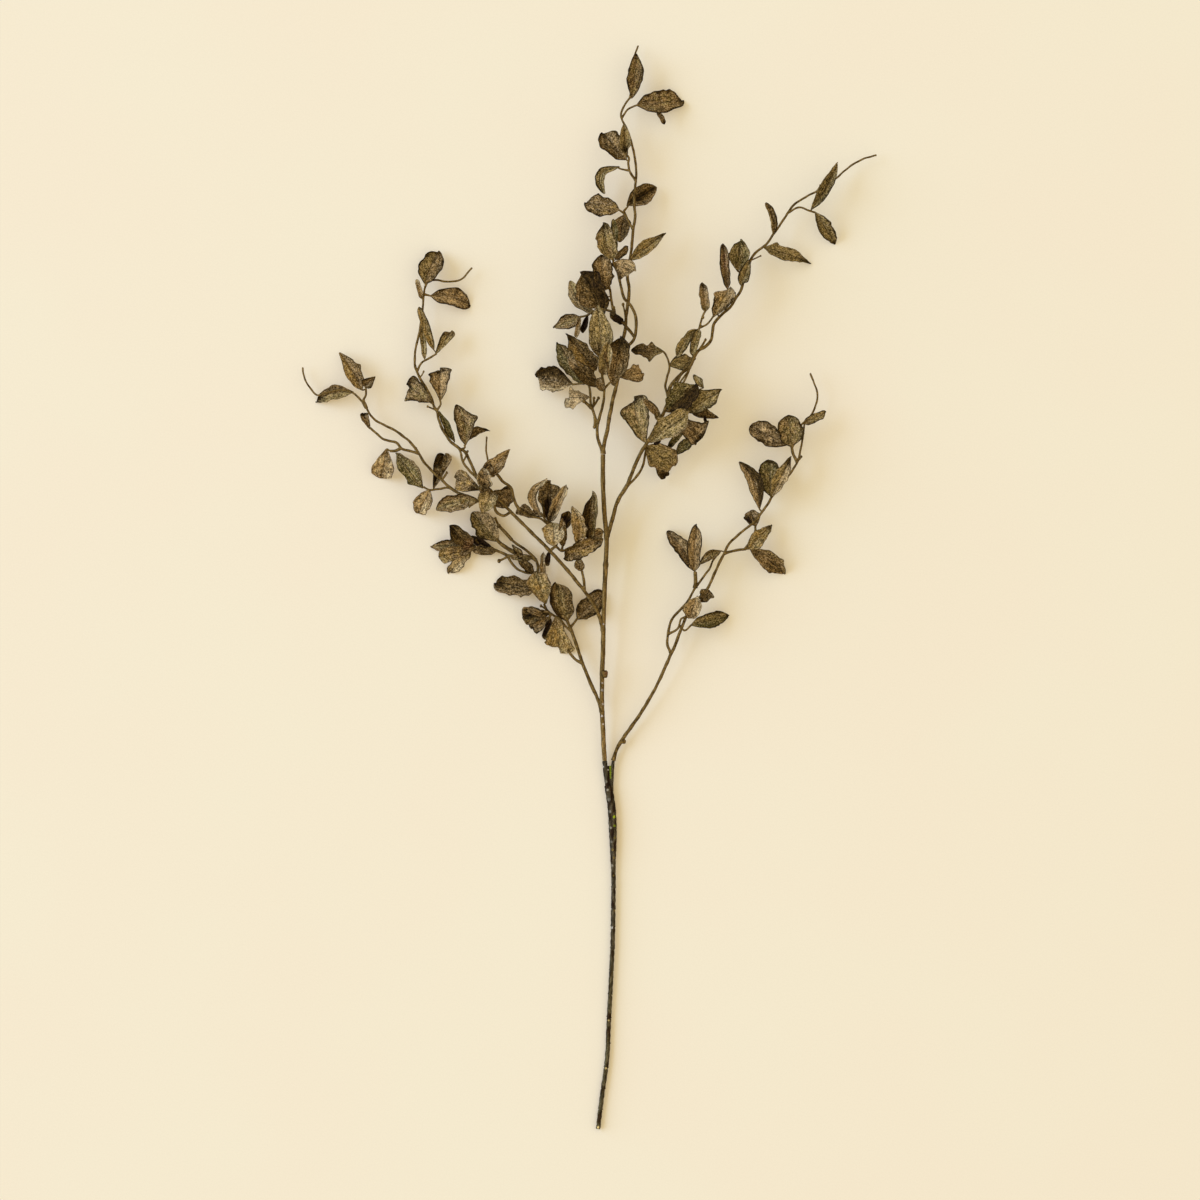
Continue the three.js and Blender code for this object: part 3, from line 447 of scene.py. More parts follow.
leafLook = {
    "across": 18,           # faces over a blade and along it
    "along": 36,
    "wider": 1.05,
    "thickness": 0.5,
    "lowest": 0.45,         # no blade's middle comes nearer to the table
    "wave": 0.9,            # the part's own waves of the rim and of its width
    "uneven": 0.07,
    "crinkle": 0.6,         # small hollows and humps
    "crinkleSize": 5.5,
    "crease": 1.0,          # sharp folds, mostly lengthwise
    "creaseSize": (4.2, 13.0),
    "veinLift": 0.16,
    "veinCount": 7.5,
    "ribDepth": 0.5,
    "ribReach": 0.9,
    "ribDrop": 0.35,        # how far under its blade a stalk lies
    "ragged": 0.16,         # how torn a margin is, as a share of the half width
    "tearSize": 9,
    "tornTip": 2.2,
    "slant": 0.2,           # how obliquely tips end
    "cornerReach": 0.07,
    "hornReach": 0.28,
    # margins and tips are darkened: partly the leaves' own dark rims, partly painted shade of
    # curled margins
    "rimPaintedShade": 0.7,
    "rootWidth": 0.08,
}
outlines = {   # half widths from root to tip, as shares of the widest
    "oval": (0.62, 1, 0.94, 0.6, 0.12),
    "egg": (0.86, 1, 0.78, 0.42, 0.1),
    "spoon": (0.4, 0.74, 1, 0.9, 0.34),
    "fan": (0.36, 0.62, 0.86, 1, 0.8),
    "round": (0.7, 0.98, 1, 0.8, 0.34),
    "strap": (0.8, 0.95, 1, 0.85, 0.5),
    "spindle": (0.6, 1, 0.8, 0.36, 0.1),
}
outlineStations = (0, 0.16, 0.38, 0.62, 0.84, 1)


# The look is the outline, unless it is oval, and the tones: one, then others and where they lie
def leaf(across, down, tipAcross, tipDown, width, rise, look, **form):
    outline, _, finish = look.rpartition(": ")
    plain = {"fold": 14, "curl": 28, "tuck": 0, "arch": 2, "bend": 0, "roll": 0, "ragged": 1,
             "slant": 0, "corners": (), "horns": ()}
    return {**plain, "base": (across, down), "tip": (tipAcross, tipDown), "width": width,
            "rise": rise, "outline": outline or "oval", "tones": finish.split("; "), **form}


def sectionPoint(fold, curl, reach):   # where a curled half blade comes to, sideways and up
    pieces = (np.arange(8) + 0.5) / 8
    angle = np.radians(np.expand_dims(fold + 0 * reach, -1)
                       + np.expand_dims(curl + 0 * reach, -1)
                       * (np.expand_dims(reach, -1) * pieces) ** 2)
    return np.cos(angle).mean(-1) * reach, np.sin(angle).mean(-1) * reach


def sectionReach(fold, curl):
    return max(sectionPoint(fold, curl, np.array(reach))[0] for reach in (0.5, 0.7, 0.85, 1.0))


def halfWidth(outline, station):   # half rounded and half straight: dried margins have corners
    shares = (leafLook["rootWidth"], *outlines[outline])
    line = smoothRoute(list(zip(outlineStations, shares)), 0.03)
    width = 0.5 * np.interp(station, line[:, 0], line[:, 1])
    width += 0.5 * np.interp(station, outlineStations, shares)
    roundFrom = 0.88 if shares[-1] > 0.3 else 0.96   # a blunt tip is rounded off
    past = np.clip((station - roundFrom) / (1 - roundFrom), 0, 1)
    return width * np.sqrt(np.clip(1 - past**3, 0.004, 1))


def makeBlank():   # the flat blade that every leaf is made from
    bpy.ops.mesh.primitive_grid_add(x_subdivisions=leafLook["across"],
                                    y_subdivisions=leafLook["along"], size=2)
    blank = bpy.context.active_object
    flat = vectors(blank.data.vertices, "co")
    station = (flat[:, 1] + 1) / 2
    return blank, flat[:, 0], 0.35 * station + 0.65 * np.sin(station * math.pi / 2)


blank, share, station = makeBlank()


def bladeEnds(row, seat):
    root = drawn([(*row["base"], seat[2])])[0]
    tip = drawn([(*row["tip"], max(seat[2] + drawing["lift"] * row["rise"], leafLook["lowest"]))])
    return root, tip[0]


def bladeFrame(root, tip):
    along = (tip - root) / np.linalg.norm(tip - root)
    level = np.cross(along, (0, 0, 1))
    level /= np.linalg.norm(level)
    return along, level, np.cross(level, along)


def bladeHalf(row, length, number, share, station):   # half widths, torn and uneven
    hand = np.sign(share)
    margin = np.c_[station * length / leafLook["tearSize"], hand * 4,
                   np.full(len(share), number * 3.7)]
    torn = 0.3 - np.abs(cloud(margin, 1.0)) * 2 + 0.45 * cloud(margin * 3.1, 1.0)
    uneven = 1 + leafLook["uneven"] * np.sin(9 * station + number * 2.4 + 2 * hand)
    uneven += leafLook["ragged"] * row["ragged"] * torn
    for place, where, extra in row["corners"]:
        uneven += extra * hump(station, place, leafLook["cornerReach"]) * (hand == where)
    lean = max(math.cos(math.radians(row["roll"])), 0.5)
    seen = row["width"] * leafLook["wider"] / 2 / lean
    seen = seen * halfWidth(row["outline"], station) * uneven
    reaches = [sectionReach(row["fold"], row["curl"] + max(0, side * row["tuck"]))
               for side in (-1, 1)]
    return seen / np.where(share < 0, *reaches)


def bladeHeight(row, half, length, number, share, station):   # over the blade's middle
    hand = np.sign(share)
    away = np.abs(share)
    curl = row["curl"] + np.maximum(0, row["tuck"] * hand)
    out, lift = sectionPoint(row["fold"], curl, away)
    wave = leafLook["wave"] * share**2 * np.sin(11 * station + number * 2.4 + 1.3 * hand)
    height = lift * half + wave * np.minimum(1, station * 3)
    flat = np.c_[share * half, station * length, np.full(len(share), number * 11.3)]
    size = leafLook["crinkleSize"]
    lumps = leafLook["crinkle"] * (cloud(flat, size) + 0.5 * cloud(flat, size * 0.42))
    creases = cloud(flat / (*leafLook["creaseSize"], 1), 1.0, 3.0)
    lumps += leafLook["crease"] * (0.3 - 1.6 * np.abs(creases))
    soft = np.minimum(1, station * 4) * (0.45 + 0.55 * away)
    height += lumps * soft * min(1, row["width"] / 16)
    veins = np.abs(np.sin((station * leafLook["veinCount"] - away * 1.7) * math.pi)) - 0.6
    height += leafLook["veinLift"] * veins * ramp(away, 0.05, 0.3) * min(1, row["width"] / 14)
    rib = hump(away * half, 0, leafLook["ribReach"]) * np.minimum(1, station * 6)
    return out, height - leafLook["ribDepth"] * rib


def bladeSlip(row, number, share, station):   # how much further or shorter than the tip it goes
    tear = np.c_[share * row["width"] / leafLook["tearSize"],
                 np.full((len(share), 2), number * 5.1)]
    slip = cloud(tear, 1.0) * row["ragged"] * leafLook["tornTip"] * ramp(station, 0.7, 1)
    slip *= outlines[row["outline"]][-1]
    slant = row["slant"] + leafLook["slant"] * math.sin(number * 2.1)
    slip += slant * share * row["width"] / 2 * ramp(station, 0.4, 1)
    for where, extra in row["horns"]:
        slip += extra * hump(share, where, leafLook["hornReach"]) * ramp(station, 0.72, 1)
    return slip


def bladePlaces(row, seat, number, share, station):
    root, tip = bladeEnds(row, seat)
    along, level, upright = bladeFrame(root, tip)
    length = np.linalg.norm(tip - root)
    half = bladeHalf(row, length, number, share, station)
    out, height = bladeHeight(row, half, length, number, share, station)
    roll = math.radians(row["roll"])
    side = level * math.cos(roll) + upright * math.sin(roll)
    up = upright * math.cos(roll) - level * math.sin(roll)
    bulge = 4 * station * (1 - station)
    places = root + np.outer(station, tip - root)
    for shares, way in ((bladeSlip(row, number, share, station), along),
                        (row["bend"] * bulge, level), (row["arch"] * bulge, upright),
                        (np.sign(share) * out * half, side), (height, up)):
        places += np.outer(shares, way)
    places[:, 2] = np.maximum(places[:, 2], leafLook["lowest"])
    return places


# A dark second finish on a half, an edge or the rim is partly the leaf's own colour and partly
# painted shade where that part lies in shadow
def toneMask(place, lumps):   # where on a blade a second finish lies
    side = share + 0.22 * lumps
    along = station + 0.08 * lumps
    away = np.abs(side)
    return {
        "leftHalf": ramp(-side, -0.05, 0.15),
        "rightHalf": ramp(side, -0.05, 0.15),
        "leftEdge": ramp(-side, 0.45, 0.85),
        "rightEdge": ramp(side, 0.45, 0.85),
        "rim": np.maximum(ramp(away, 0.6, 0.95), ramp(along, 0.84, 0.97)),
        "tip": ramp(along, 0.66, 0.92),
        "root": 1 - ramp(along, 0.1, 0.42),
        "middle": 1 - ramp(away, 0.1, 0.5),
        "patches": ramp(lumps, 0.0, 0.3),
    }[place]


def bladeTones(row, places, number):
    base, *others = row["tones"]
    lumps = cloud(places, 6.0, number) + 0.6 * cloud(places, 2.6, number)
    colours = np.outer(1 + 0.35 * lumps, tones[base])
    for tone, place in map(str.split, others):
        second = np.outer(1 + 0.3 * lumps, tones[tone])
        colours = blended(colours, second, 0.85 * toneMask(place, lumps)[:, None])
    # Painted shade along every margin and at the tip, partly the leaves' own dark rims and partly
    # the shade of margins that curl
    rim = np.maximum(ramp(np.abs(share), 0.84, 1), ramp(station, 0.95, 1))
    rim *= 0.65 + 0.5 * cloud(places, 3.1, number + 0.5)
    return colours * (1 - leafLook["rimPaintedShade"] * np.clip(rim, 0, 1))[:, None]


def makeLeaf(row, seat, number):
    blade = blank.copy()
    blade.data = blank.data.copy()
    bpy.context.collection.objects.link(blade)
    places = bladePlaces(row, seat, number, share, station)
    movePlaces(blade, places)
    paint(blade, np.clip(bladeTones(row, places, number), darkest, 1))
    return blade


def makeStalk(row, seat, number):   # from the twig, and on along the underside of the blade
    count = twigLook["ribPoints"]
    stations = np.linspace(0, twigLook["ribEnd"], count)
    rib = bladePlaces(row, seat, number, np.zeros(count), stations)
    rib[:, 2] = np.maximum(rib[:, 2] - leafLook["ribDrop"], leafLook["lowest"])
    line = smoothRoute([seat, *rib], twigLook["step"])
    width = min(twigLook["stalkWidth"], 0.5 + row["width"] * 0.08)
    return line, width * np.linspace(1.1, 0.25, len(line))


def growTwigs(spray):   # their places for seats, and their rods
    seats = np.zeros((0, 3))
    rods = []
    for number, row in enumerate(spray["twigs"]):
        line = twigLine(row, seats)
        seats = np.vstack([seats, line])
        stray = np.stack([cloud(line, twigLook["wanderSize"], number + seed)
                          for seed in (0, 9, 5)], 1)
        rods.append((line + twigLook["wander"] * stray, twigWidths(line, row, number)))
    return seats, rods


def growKnobs(spray, seats, rods):
    knobs = []
    for number, (across, down, size) in enumerate(spray["knobs"]):
        place = drawn([(across, down, 0)])[0]
        place[2] = nearest(seats, place)[2]
        knobs.append(knob(place, size, number * 1.7))
    for number, (across, down, endAcross, endDown, width, size) in enumerate(spray["stubs"]):
        seat = nearest(seats, drawn([(across, down, 0)])[0])
        end = drawn([(endAcross, endDown, seat[2] + twigLook["stubRise"])])[0]
        bent = (seat + end) / 2 + twigLook["stubBend"]
        line = smoothRoute([seat, bent, end], twigLook["step"])
        rods.append((line, np.linspace(width, twigLook["stubTaper"] * width, len(line))))
        knobs.append(knob(end, size, number * 2.3 + 1))
    return knobs


def growSpray(spray):
    seats, rods = growTwigs(spray)
    leaves = []
    for number, row in enumerate(spray["leaves"]):
        seat = nearest(seats, drawn([(*row["base"], 0)])[0])
        rods.append(makeStalk(row, seat, number))
        leaves.append(makeLeaf(row, seat, number))
    knobs = growKnobs(spray, seats, rods)
    wood = joined([rodsObject("rods", rods), *knobs], spray["name"] + "Twigs")
    places = meshPlaces(wood)
    lumps = cloud(places, 6.0, 2.0) + 0.6 * cloud(places, 2.2, 4.0)
    colours = blended(np.array(tones[twigLook["tone"]]), tones[twigLook["knotTone"]],
                      ramp(lumps, -0.1, 0.5)[:, None])
    colours = patched(colours, places, spray.get("patches", ()), 0.5)
    # painted shade on the twigs' sides and undersides
    paint(wood, np.clip(colours * (1 + 0.2 * lumps)[:, None] * paintedFlankShade(wood), darkest, 1))
    places[:, 2] = np.maximum(places[:, 2], twigLook["lowest"])
    movePlaces(wood, places)
    pick(wood)
    bpy.ops.object.shade_smooth()
    shown(wood, spray["node"], "main_stem", twigBark)
    foliage = joined(leaves, spray["name"] + "Leaves")
    foliage.data.materials.append(leafFront)
    foliage.data.materials.append(leafBack)
    applied(foliage, "SOLIDIFY", thickness=leafLook["thickness"] * mm, offset=0, material_offset=1)
    bpy.ops.object.shade_smooth_by_angle(angle=sharpFrom)
    shown(foliage, spray["node"], "leaves")
    print(spray["name"], "spray grown:", len(leaves), "leaves")


centreSpray = {"name": "centre", "node": "centre_spray"}
centreSpray["knobs"] = [
    (607, 252, 2.2), (638, 46, 1.8), (613, 316, 4.4), (584, 402, 3.6), (628, 303, 4),
]
centreSpray["patches"] = [
    (618, 320, 15, "deepBark"), (631, 334, 8, "umber"), (598, 405, 12, "deepBark"),
]
centreSpray["stubs"] = [   # broken twigs: from, to, width, and the size of the knob at the end
    (626, 322, 623, 306, 1.9, 3.2), (613, 316, 614, 309, 2.0, 2.6), (627, 327, 634, 338, 3.4, 3.4),
    (595, 409, 594, 399, 2.4, 3.0), (595, 408, 598.5, 399, 2.5, 3.2),
    (597, 417, 594.5, 428, 3.2, 3.4), (602, 362, 594, 358, 2.2, 3.0),
    (610, 300, 606, 305, 1.8, 2.4), (604, 388, 600, 380, 2.0, 2.8),
]
centreSpray["twigs"] = [
    twig(3.5, 1.4, 0, (603, 454.5, 20.1), (604, 445, 20.6), (607, 432, 21), (609, 420, 21.5),
         (612, 405, 22), (615, 392, 22), (618, 379, 22), (621, 360, 21.5), (623, 342, 21),
         (625, 330, 20.5), (626, 318, 20), (628, 303, 19.5), (629, 290, 19), (627.5, 278, 18.5),
         (629, 266, 18), (631, 253, 18), (633, 232, 17.5), (635, 218, 17), (634, 205, 16.5),
         (635, 190, 16), (636, 170, 15.5), (633, 150, 14.5), (628, 133, 13.5), (622, 120, 12.5),
         (621, 115, 12), (625, 105, 11.5), (630, 98, 11)),
    twig(1.4, 1.1, -3, (630, 98), (632, 85), (634, 65), (635, 54), (638, 46)),
    twig(1.5, 1.3, 0, (622, 118), (628, 110), (634, 107), (637, 106)),
    twig(1.8, 1.4, 2, (634, 181), (630, 173), (628, 165), (629, 160), (624, 153)),
    twig(1.4, 1.2, 0, (629, 172), (620, 170), (617, 168)),
    twig(1.8, 1.4, -3, (633, 230), (629, 224), (626, 217), (624, 212)),
    twig(1.4, 1.2, 1, (625, 214), (619, 211)),
    twig(1.3, 1.2, -1, (624, 212), (628, 207)),
    twig(2.5, 2.1, 2, (623, 352), (633, 342), (636, 330), (635, 316), (629, 305), (624, 300),
         (621, 290), (619, 280), (617, 272), (613, 264)),
    twig(1.2, 1.1, 1, (613, 265), (611, 258), (607, 252)),
    twig(2.4, 1.5, 1, (625, 326), (614, 314), (611, 300), (609, 290), (603, 292)),
    twig(1.5, 1.2, 0, (609, 291), (608, 280), (608, 270), (611, 265)),
    twig(2, 1.4, -3, (613, 314), (606, 311), (600, 310), (592, 313), (588, 316), (580, 318)),
    twig(2.6, 1.6, 1, (603, 453), (599, 443), (597, 432), (599, 420), (602, 409), (604, 398),
         (604, 388), (602, 376), (602, 366), (602, 356)),
    twig(1.5, 1.3, 3, (605, 390), (610, 384), (619, 378)),
    twig(2.2, 1.4, -5, (598, 425), (594, 415), (591, 405), (590, 392), (588, 384), (583, 384),
         (572, 385)),
    twig(2.8, 2.4, 0, (591, 409), (584, 402)),
    twig(1.5, 1.3, 2, (588, 385), (592, 376), (595, 368)),
]
centreSpray["leaves"] = [
    leaf(632, 98, 636, 54, 15, 1, "brown; olive patches; dark rim", fold=22, roll=-6, bend=0.8,
         ragged=0.5),
    leaf(637, 106, 682, 99, 22, -13, "round: brown; olive patches; dark rim", arch=3, roll=8,
         ragged=0.6),
    leaf(626, 161, 603, 134, 22, -4, "round: brown; umber leftHalf; dark rim", curl=45),
    leaf(625, 154, 624, 127, 11, 8, "pale; dark root", fold=38),
    leaf(619, 168, 604, 194, 10, -5, "strap: olive; pale leftEdge; dark rightEdge", bend=12),
    leaf(619, 211, 586, 203, 20, -4, "round: brown; golden patches; dark rim", slant=0),
    leaf(627, 206, 656, 186, 19, -7, "umber; dark middle; brown rightEdge", ragged=0.5),
    leaf(613, 262, 603, 227, 18, 4, "round: pale; brown patches; dark tip", bend=-2),
    leaf(615, 256, 614, 221, 7, -5, "strap: moss; dark leftEdge"),
    leaf(623.5, 216, 620, 242, 17, -7, "egg: brown; pale tip; umber leftHalf"),
    leaf(629, 262, 665, 234, 13, -2, "spindle: pale; golden patches; dark tip", fold=30),
    leaf(612, 266, 634, 273, 18, 3, "spoon: pink; dark rightEdge; beige tip", fold=22,
         corners=((0.66, 1, 0.5),)),
    leaf(603, 292, 601, 257, 20, 2, "round: brown; pink patches; dark rim", roll=-14),
    leaf(602, 310, 581, 276, 28, 3, "round: umber; dark rightHalf; brown leftEdge", roll=6,
         corners=((0.8, 1, 0.3), (0.6, -1, 0.15))),
    leaf(600, 310, 574, 290, 15, -11, "dark; umber tip", roll=-10),
    leaf(594, 316, 570, 281, 14, -6, "pale; beige leftHalf; umber root", fold=20, bend=-4),
    leaf(580, 318, 554, 328, 14, -7, "egg: brown; dark rim; pale middle"),
    leaf(580, 318, 576, 338, 5, -3, "strap: pink; beige tip"),
    leaf(588, 316, 582, 333, 6, -6, "dark; umber tip", fold=40),
    leaf(603, 361, 597, 309, 23, 6, "pale; olive rim; umber root", fold=6, curl=14, ragged=0.3),
    leaf(584, 385, 558, 343, 18, -9, "umber; dark rim; moss leftHalf", roll=12),
    leaf(596, 371, 567, 337, 20, 6, "egg: umber; golden leftHalf; dark tip", fold=26, slant=0.2,
         corners=((0.84, -1, 0.9),)),
    leaf(613, 386, 619.5, 341, 25, 7, "spoon: brown; umber rightHalf; dark tip", fold=24,
         ragged=0.5, slant=0.1, horns=((-0.7, 2.5),)),
    leaf(603, 376, 608, 345, 12, 13, "strap: pale; brown root; beige rightEdge", fold=30),
    leaf(619, 378, 641, 374, 18, -5, "fan: pink; brown root; umber rightEdge",
         corners=((0.6, -1, 0.35),), horns=((0.4, 2.5), (-0.8, -2))),
    leaf(572, 384, 537, 377, 25, -12, "brown; beige leftEdge; dark rightHalf", tuck=75, arch=3,
         corners=((0.8, -1, 0.2),)),
    leaf(589, 398, 569, 398, 20, -7, "fan: pink; beige rim; brown root", curl=40,
         corners=((0.6, -1, 0.4),), horns=((-0.6, 3),)),
    leaf(598, 388, 568, 360, 14, 4, "umber; dark patches; pink tip", curl=60),
    leaf(657, 111, 665, 124, 5, -2, "strap: brown; dark tip"),
    leaf(615, 262, 628, 249, 7, -3, "strap: umber; brown middle; dark rim"),
    leaf(587, 385, 579, 372, 8, -3, "fan: dark; umber tip"),
    leaf(603, 392, 597, 380, 8, 1, "round: brown; pink tip", curl=60),
    leaf(608, 298, 601, 316, 7, -4, "strap: umber; dark rim"),
    leaf(623, 325, 610, 315, 7, 1, "strap: dark; umber tip", curl=60),
]

upperRightSpray = {"name": "upperRight", "node": "upper_right_spray"}
upperRightSpray["knobs"] = [
    (876, 155, 1.8), (700, 327, 2.8), (702.6, 319, 2.8), (670, 396, 4.4),
]
upperRightSpray["stubs"] = [
    (668, 398, 684, 369, 2.2, 2.2), (671, 392, 690, 369, 1.9, 2.2), (698, 352, 705, 341, 2.4, 2.6),
    (751, 262, 760, 257, 1.5, 2.0), (668, 412, 676, 396, 3.0, 3.0), (692, 437, 695, 444, 2.4, 3.4),
    (744, 276, 748, 269, 1.6, 2.2), (816, 192, 820, 186, 1.6, 2.2), (718, 318, 712, 310, 1.8, 2.2),
]
upperRightSpray["twigs"] = [
    twig(3.5, 1.2, 0, (607, 537, 16.4), (611.5, 523, 17), (615.5, 507, 18), (620.5, 496, 19),
         (626.5, 487, 20), (632, 473, 21), (638, 459, 22), (644, 448, 22), (652, 435, 22.5),
         (658, 423, 22.5), (664, 412, 22.5), (668, 400, 22.5), (669, 390, 22.5), (673, 383, 22),
         (681, 375, 22), (690, 367, 21.5), (694, 358, 21), (698, 352, 21), (706, 347, 20.5),
         (711, 340, 20), (712, 332, 19.5), (713, 326, 19), (717, 320, 19), (722, 315, 18.5),
         (729, 309, 18.5), (735, 300, 18), (741, 290, 18), (743, 280, 17.5), (745, 273, 17),
         (749, 265, 16.5), (751, 259, 16), (758, 251, 15.5), (766, 245, 15), (773, 235, 14.5),
         (778, 228, 14), (784, 219, 13.5), (794, 205, 13), (800, 201, 12.5), (808, 196, 12),
         (816, 192, 11.5), (834, 180, 10.5), (848, 168, 9.5), (857, 162, 9), (865, 158, 8.5),
         (876, 155, 8)),
    twig(2, 1.8, 0, (627, 487), (636, 478), (642, 468), (645, 455), (646, 447)),
    twig(1.9, 1.3, 1, (668, 398), (665, 388), (667, 378), (669, 368), (666, 357), (663, 353)),
    twig(1.5, 1.3, 0, (664, 412), (676, 413), (689, 411)),
    twig(1.3, 1.2, 0, (689, 411), (696, 401), (700, 390)),
    twig(1.6, 1.4, -2, (652, 437), (658, 441), (663, 435), (672, 430), (684, 424)),
    twig(1.3, 1.2, -1, (684, 424), (690, 432), (692, 438)),
    twig(2, 1.4, 0, (693, 360), (694, 345), (697, 335), (700, 325), (702, 318), (705, 312)),
    twig(1.4, 1.2, 1, (700, 330), (706, 326), (710, 322), (713, 317)),
    twig(1.5, 1.3, 0, (735, 300), (731, 295), (727, 290)),
    twig(1.5, 1.3, 0, (743, 280), (741, 275), (737, 272)),
    twig(1.6, 1.3, -1, (789, 213), (799, 208), (808, 211), (815, 213)),
    twig(1.4, 1.3, 0, (670, 395), (680, 387), (686, 378), (690, 368)),
]
upperRightSpray["leaves"] = [
    leaf(663, 353, 631, 351, 13, -5, "umber; dark tip; olive root", fold=24,
         corners=((0.32, -1, 0.75), (0.32, 1, 0.5), (0.5, 1, -0.3))),
    leaf(669, 367, 694, 359, 16, -6, "spindle: pale; olive patches; dark rim"),
    leaf(698, 331, 676, 359, 10, 5, "strap: olive; dark leftEdge; pale rightEdge", bend=3),
    leaf(698, 330, 691, 357, 8, 9, "strap: olive; dark rightEdge"),
    leaf(668, 412, 694, 386, 25, 3, "round: umber; moss leftHalf; dark rightHalf", curl=30,
         corners=((0.72, -1, 0.25),)),
    leaf(686, 413, 720, 392, 18, 3, "olive; pale patches; dark rim", fold=16, ragged=0.6,
         corners=((0.56, -1, 0.35), (0.78, 1, 0.25))),
    leaf(703, 389, 693, 376, 7, -2, "pale; dark rim"),
    leaf(687, 410, 718, 418, 11, -6, "spindle: umber; pale leftEdge; dark rim"),
    leaf(650, 443, 688, 414.5, 22, 6, "spoon: pale; brown rightEdge; olive patches", fold=10,
         curl=40, ragged=0.6, corners=((0.45, -1, 0.5), (0.28, -1, 0.4))),
    leaf(678, 420, 701, 439, 24, 2, "fan: pink; umber patches; dark rim", curl=50,
         corners=((0.85, -1, 0.3),)),
    leaf(689, 421, 668, 449, 6, -6, "strap: moss; dark tip"),
    leaf(692, 439, 675, 454, 11, -8, "egg: moss; dark rim"),
    leaf(646, 447, 674, 466, 25, -9, "round: pale; olive patches; brown rim", ragged=0.6,
         slant=-0.1, corners=((0.27, 1, 0.3),)),
    leaf(648, 449, 666, 477, 11, -15, "fan: umber; dark tip"),
    leaf(645, 443, 634, 401, 29, -2, "fan: pale; pink patches; dark rim", curl=36, ragged=0.7,
         slant=0.4, bend=-2),
    leaf(657, 421, 643, 402, 8, 9, "strap: brown; dark rightEdge; pale root", bend=3.5),
    leaf(737, 272, 740, 241, 19, -4, "olive; dark tip; moss patches", fold=20, ragged=0.5),
    leaf(740, 286, 749, 262, 11, 7, "pale; olive rightHalf; dark rim", fold=30),
    leaf(727, 290, 722, 246, 9, 3, "strap: brown; redBrown patches; dark rim", fold=34),
    leaf(713, 318, 727, 292, 19, 6, "fan: brown; golden middle; dark rim; pink tip", curl=44,
         slant=0.3),
    leaf(705, 313, 702, 285, 9, 3, "strap: pink; dark tip; olive root", fold=34),
    leaf(773, 236, 765, 204, 7, 4, "strap: umber; dark rightEdge; pale leftEdge", bend=4),
    leaf(763, 248, 811, 262, 14, -15, "spindle: olive; pale leftHalf; dark tip", fold=24, bend=-1,
         corners=((0.12, 1, 0.5), (0.16, -1, 0.6))),
    leaf(811, 210, 837, 164, 11, 2, "olive; dark rightEdge; pale tip", fold=30, curl=60, bend=2),
    leaf(815, 213, 836, 243, 14, -14, "olive; pale leftEdge; dark rim", fold=20),
    leaf(731, 306, 733, 293, 5, -2, "strap: umber; dark tip"),
    leaf(672, 420, 688, 428, 12, -4, "fan: umber; brown patches; dark rim"),
    leaf(704, 417, 705, 423, 3, -1, "strap: dark; umber tip"),
    leaf(654, 446, 663, 434, 6, -2, "strap: dark; umber tip", curl=60),
]

lowerRightSpray = {"name": "lowerRight", "node": "lower_right_spray"}
lowerRightSpray["knobs"] = [
    (810.5, 374, 1.8), (623.6, 741.5, 4.8), (695, 573, 3.2),
]
lowerRightSpray["stubs"] = [
    (797, 461, 801, 457, 1.8, 2.4), (755, 521, 758, 518, 2.4, 2.8),
]
lowerRightSpray["twigs"] = [
    twig(3.1, 1.2, 0, (613.12, 760.6, 5.32), (616.6, 750, 6), (623.5, 738, 6.6), (639.6, 715, 8),
         (655, 689, 9.5), (665.6, 666, 11), (671, 653.5, 11.5), (674.5, 646, 12),
         (679.5, 633, 12.5), (684.6, 620, 13), (690, 609, 13.5), (699, 598, 14), (707.6, 588, 14),
         (714, 574, 14.5), (723, 555, 15), (728, 545, 15), (738, 535, 15), (748, 527, 15),
         (755, 521, 15), (761, 513, 15), (767.6, 504, 15), (771.4, 497, 14.5),
         (780.6, 485.5, 14.5), (791, 472, 14), (797.5, 461, 13.5), (801, 446, 13),
         (803, 433, 12.5), (805, 422, 12), (811, 415, 11.5), (816, 404, 11), (817.4, 394, 10.5),
         (814, 383, 10), (810.5, 374, 9.5)),
    twig(2.3, 1.4, 3, (671, 654), (667.4, 644.5), (668, 633), (672, 619), (681, 609), (688.5, 600),
         (695, 588), (702.5, 578), (709.5, 568), (713, 560), (718, 554)),
    twig(2.2, 1.8, -1, (723, 554), (733, 551), (746, 549)),
    twig(1.8, 1.6, -4, (745, 549), (751, 540), (755, 531), (755, 525)),
    twig(3.4, 3, -2, (695, 588), (695.4, 580), (695, 572)),
    twig(2.6, 2, 1, (797, 462), (793, 455), (791, 447)),
    twig(1.5, 1.2, 1, (791, 448), (795, 442), (797, 433), (801, 425), (807, 420)),
    twig(1.6, 1.4, 2, (668, 635), (678, 628), (681, 619), (685, 617)),
    twig(1.5, 1.4, 1, (679, 626), (684.6, 630.5), (691, 625)),
]
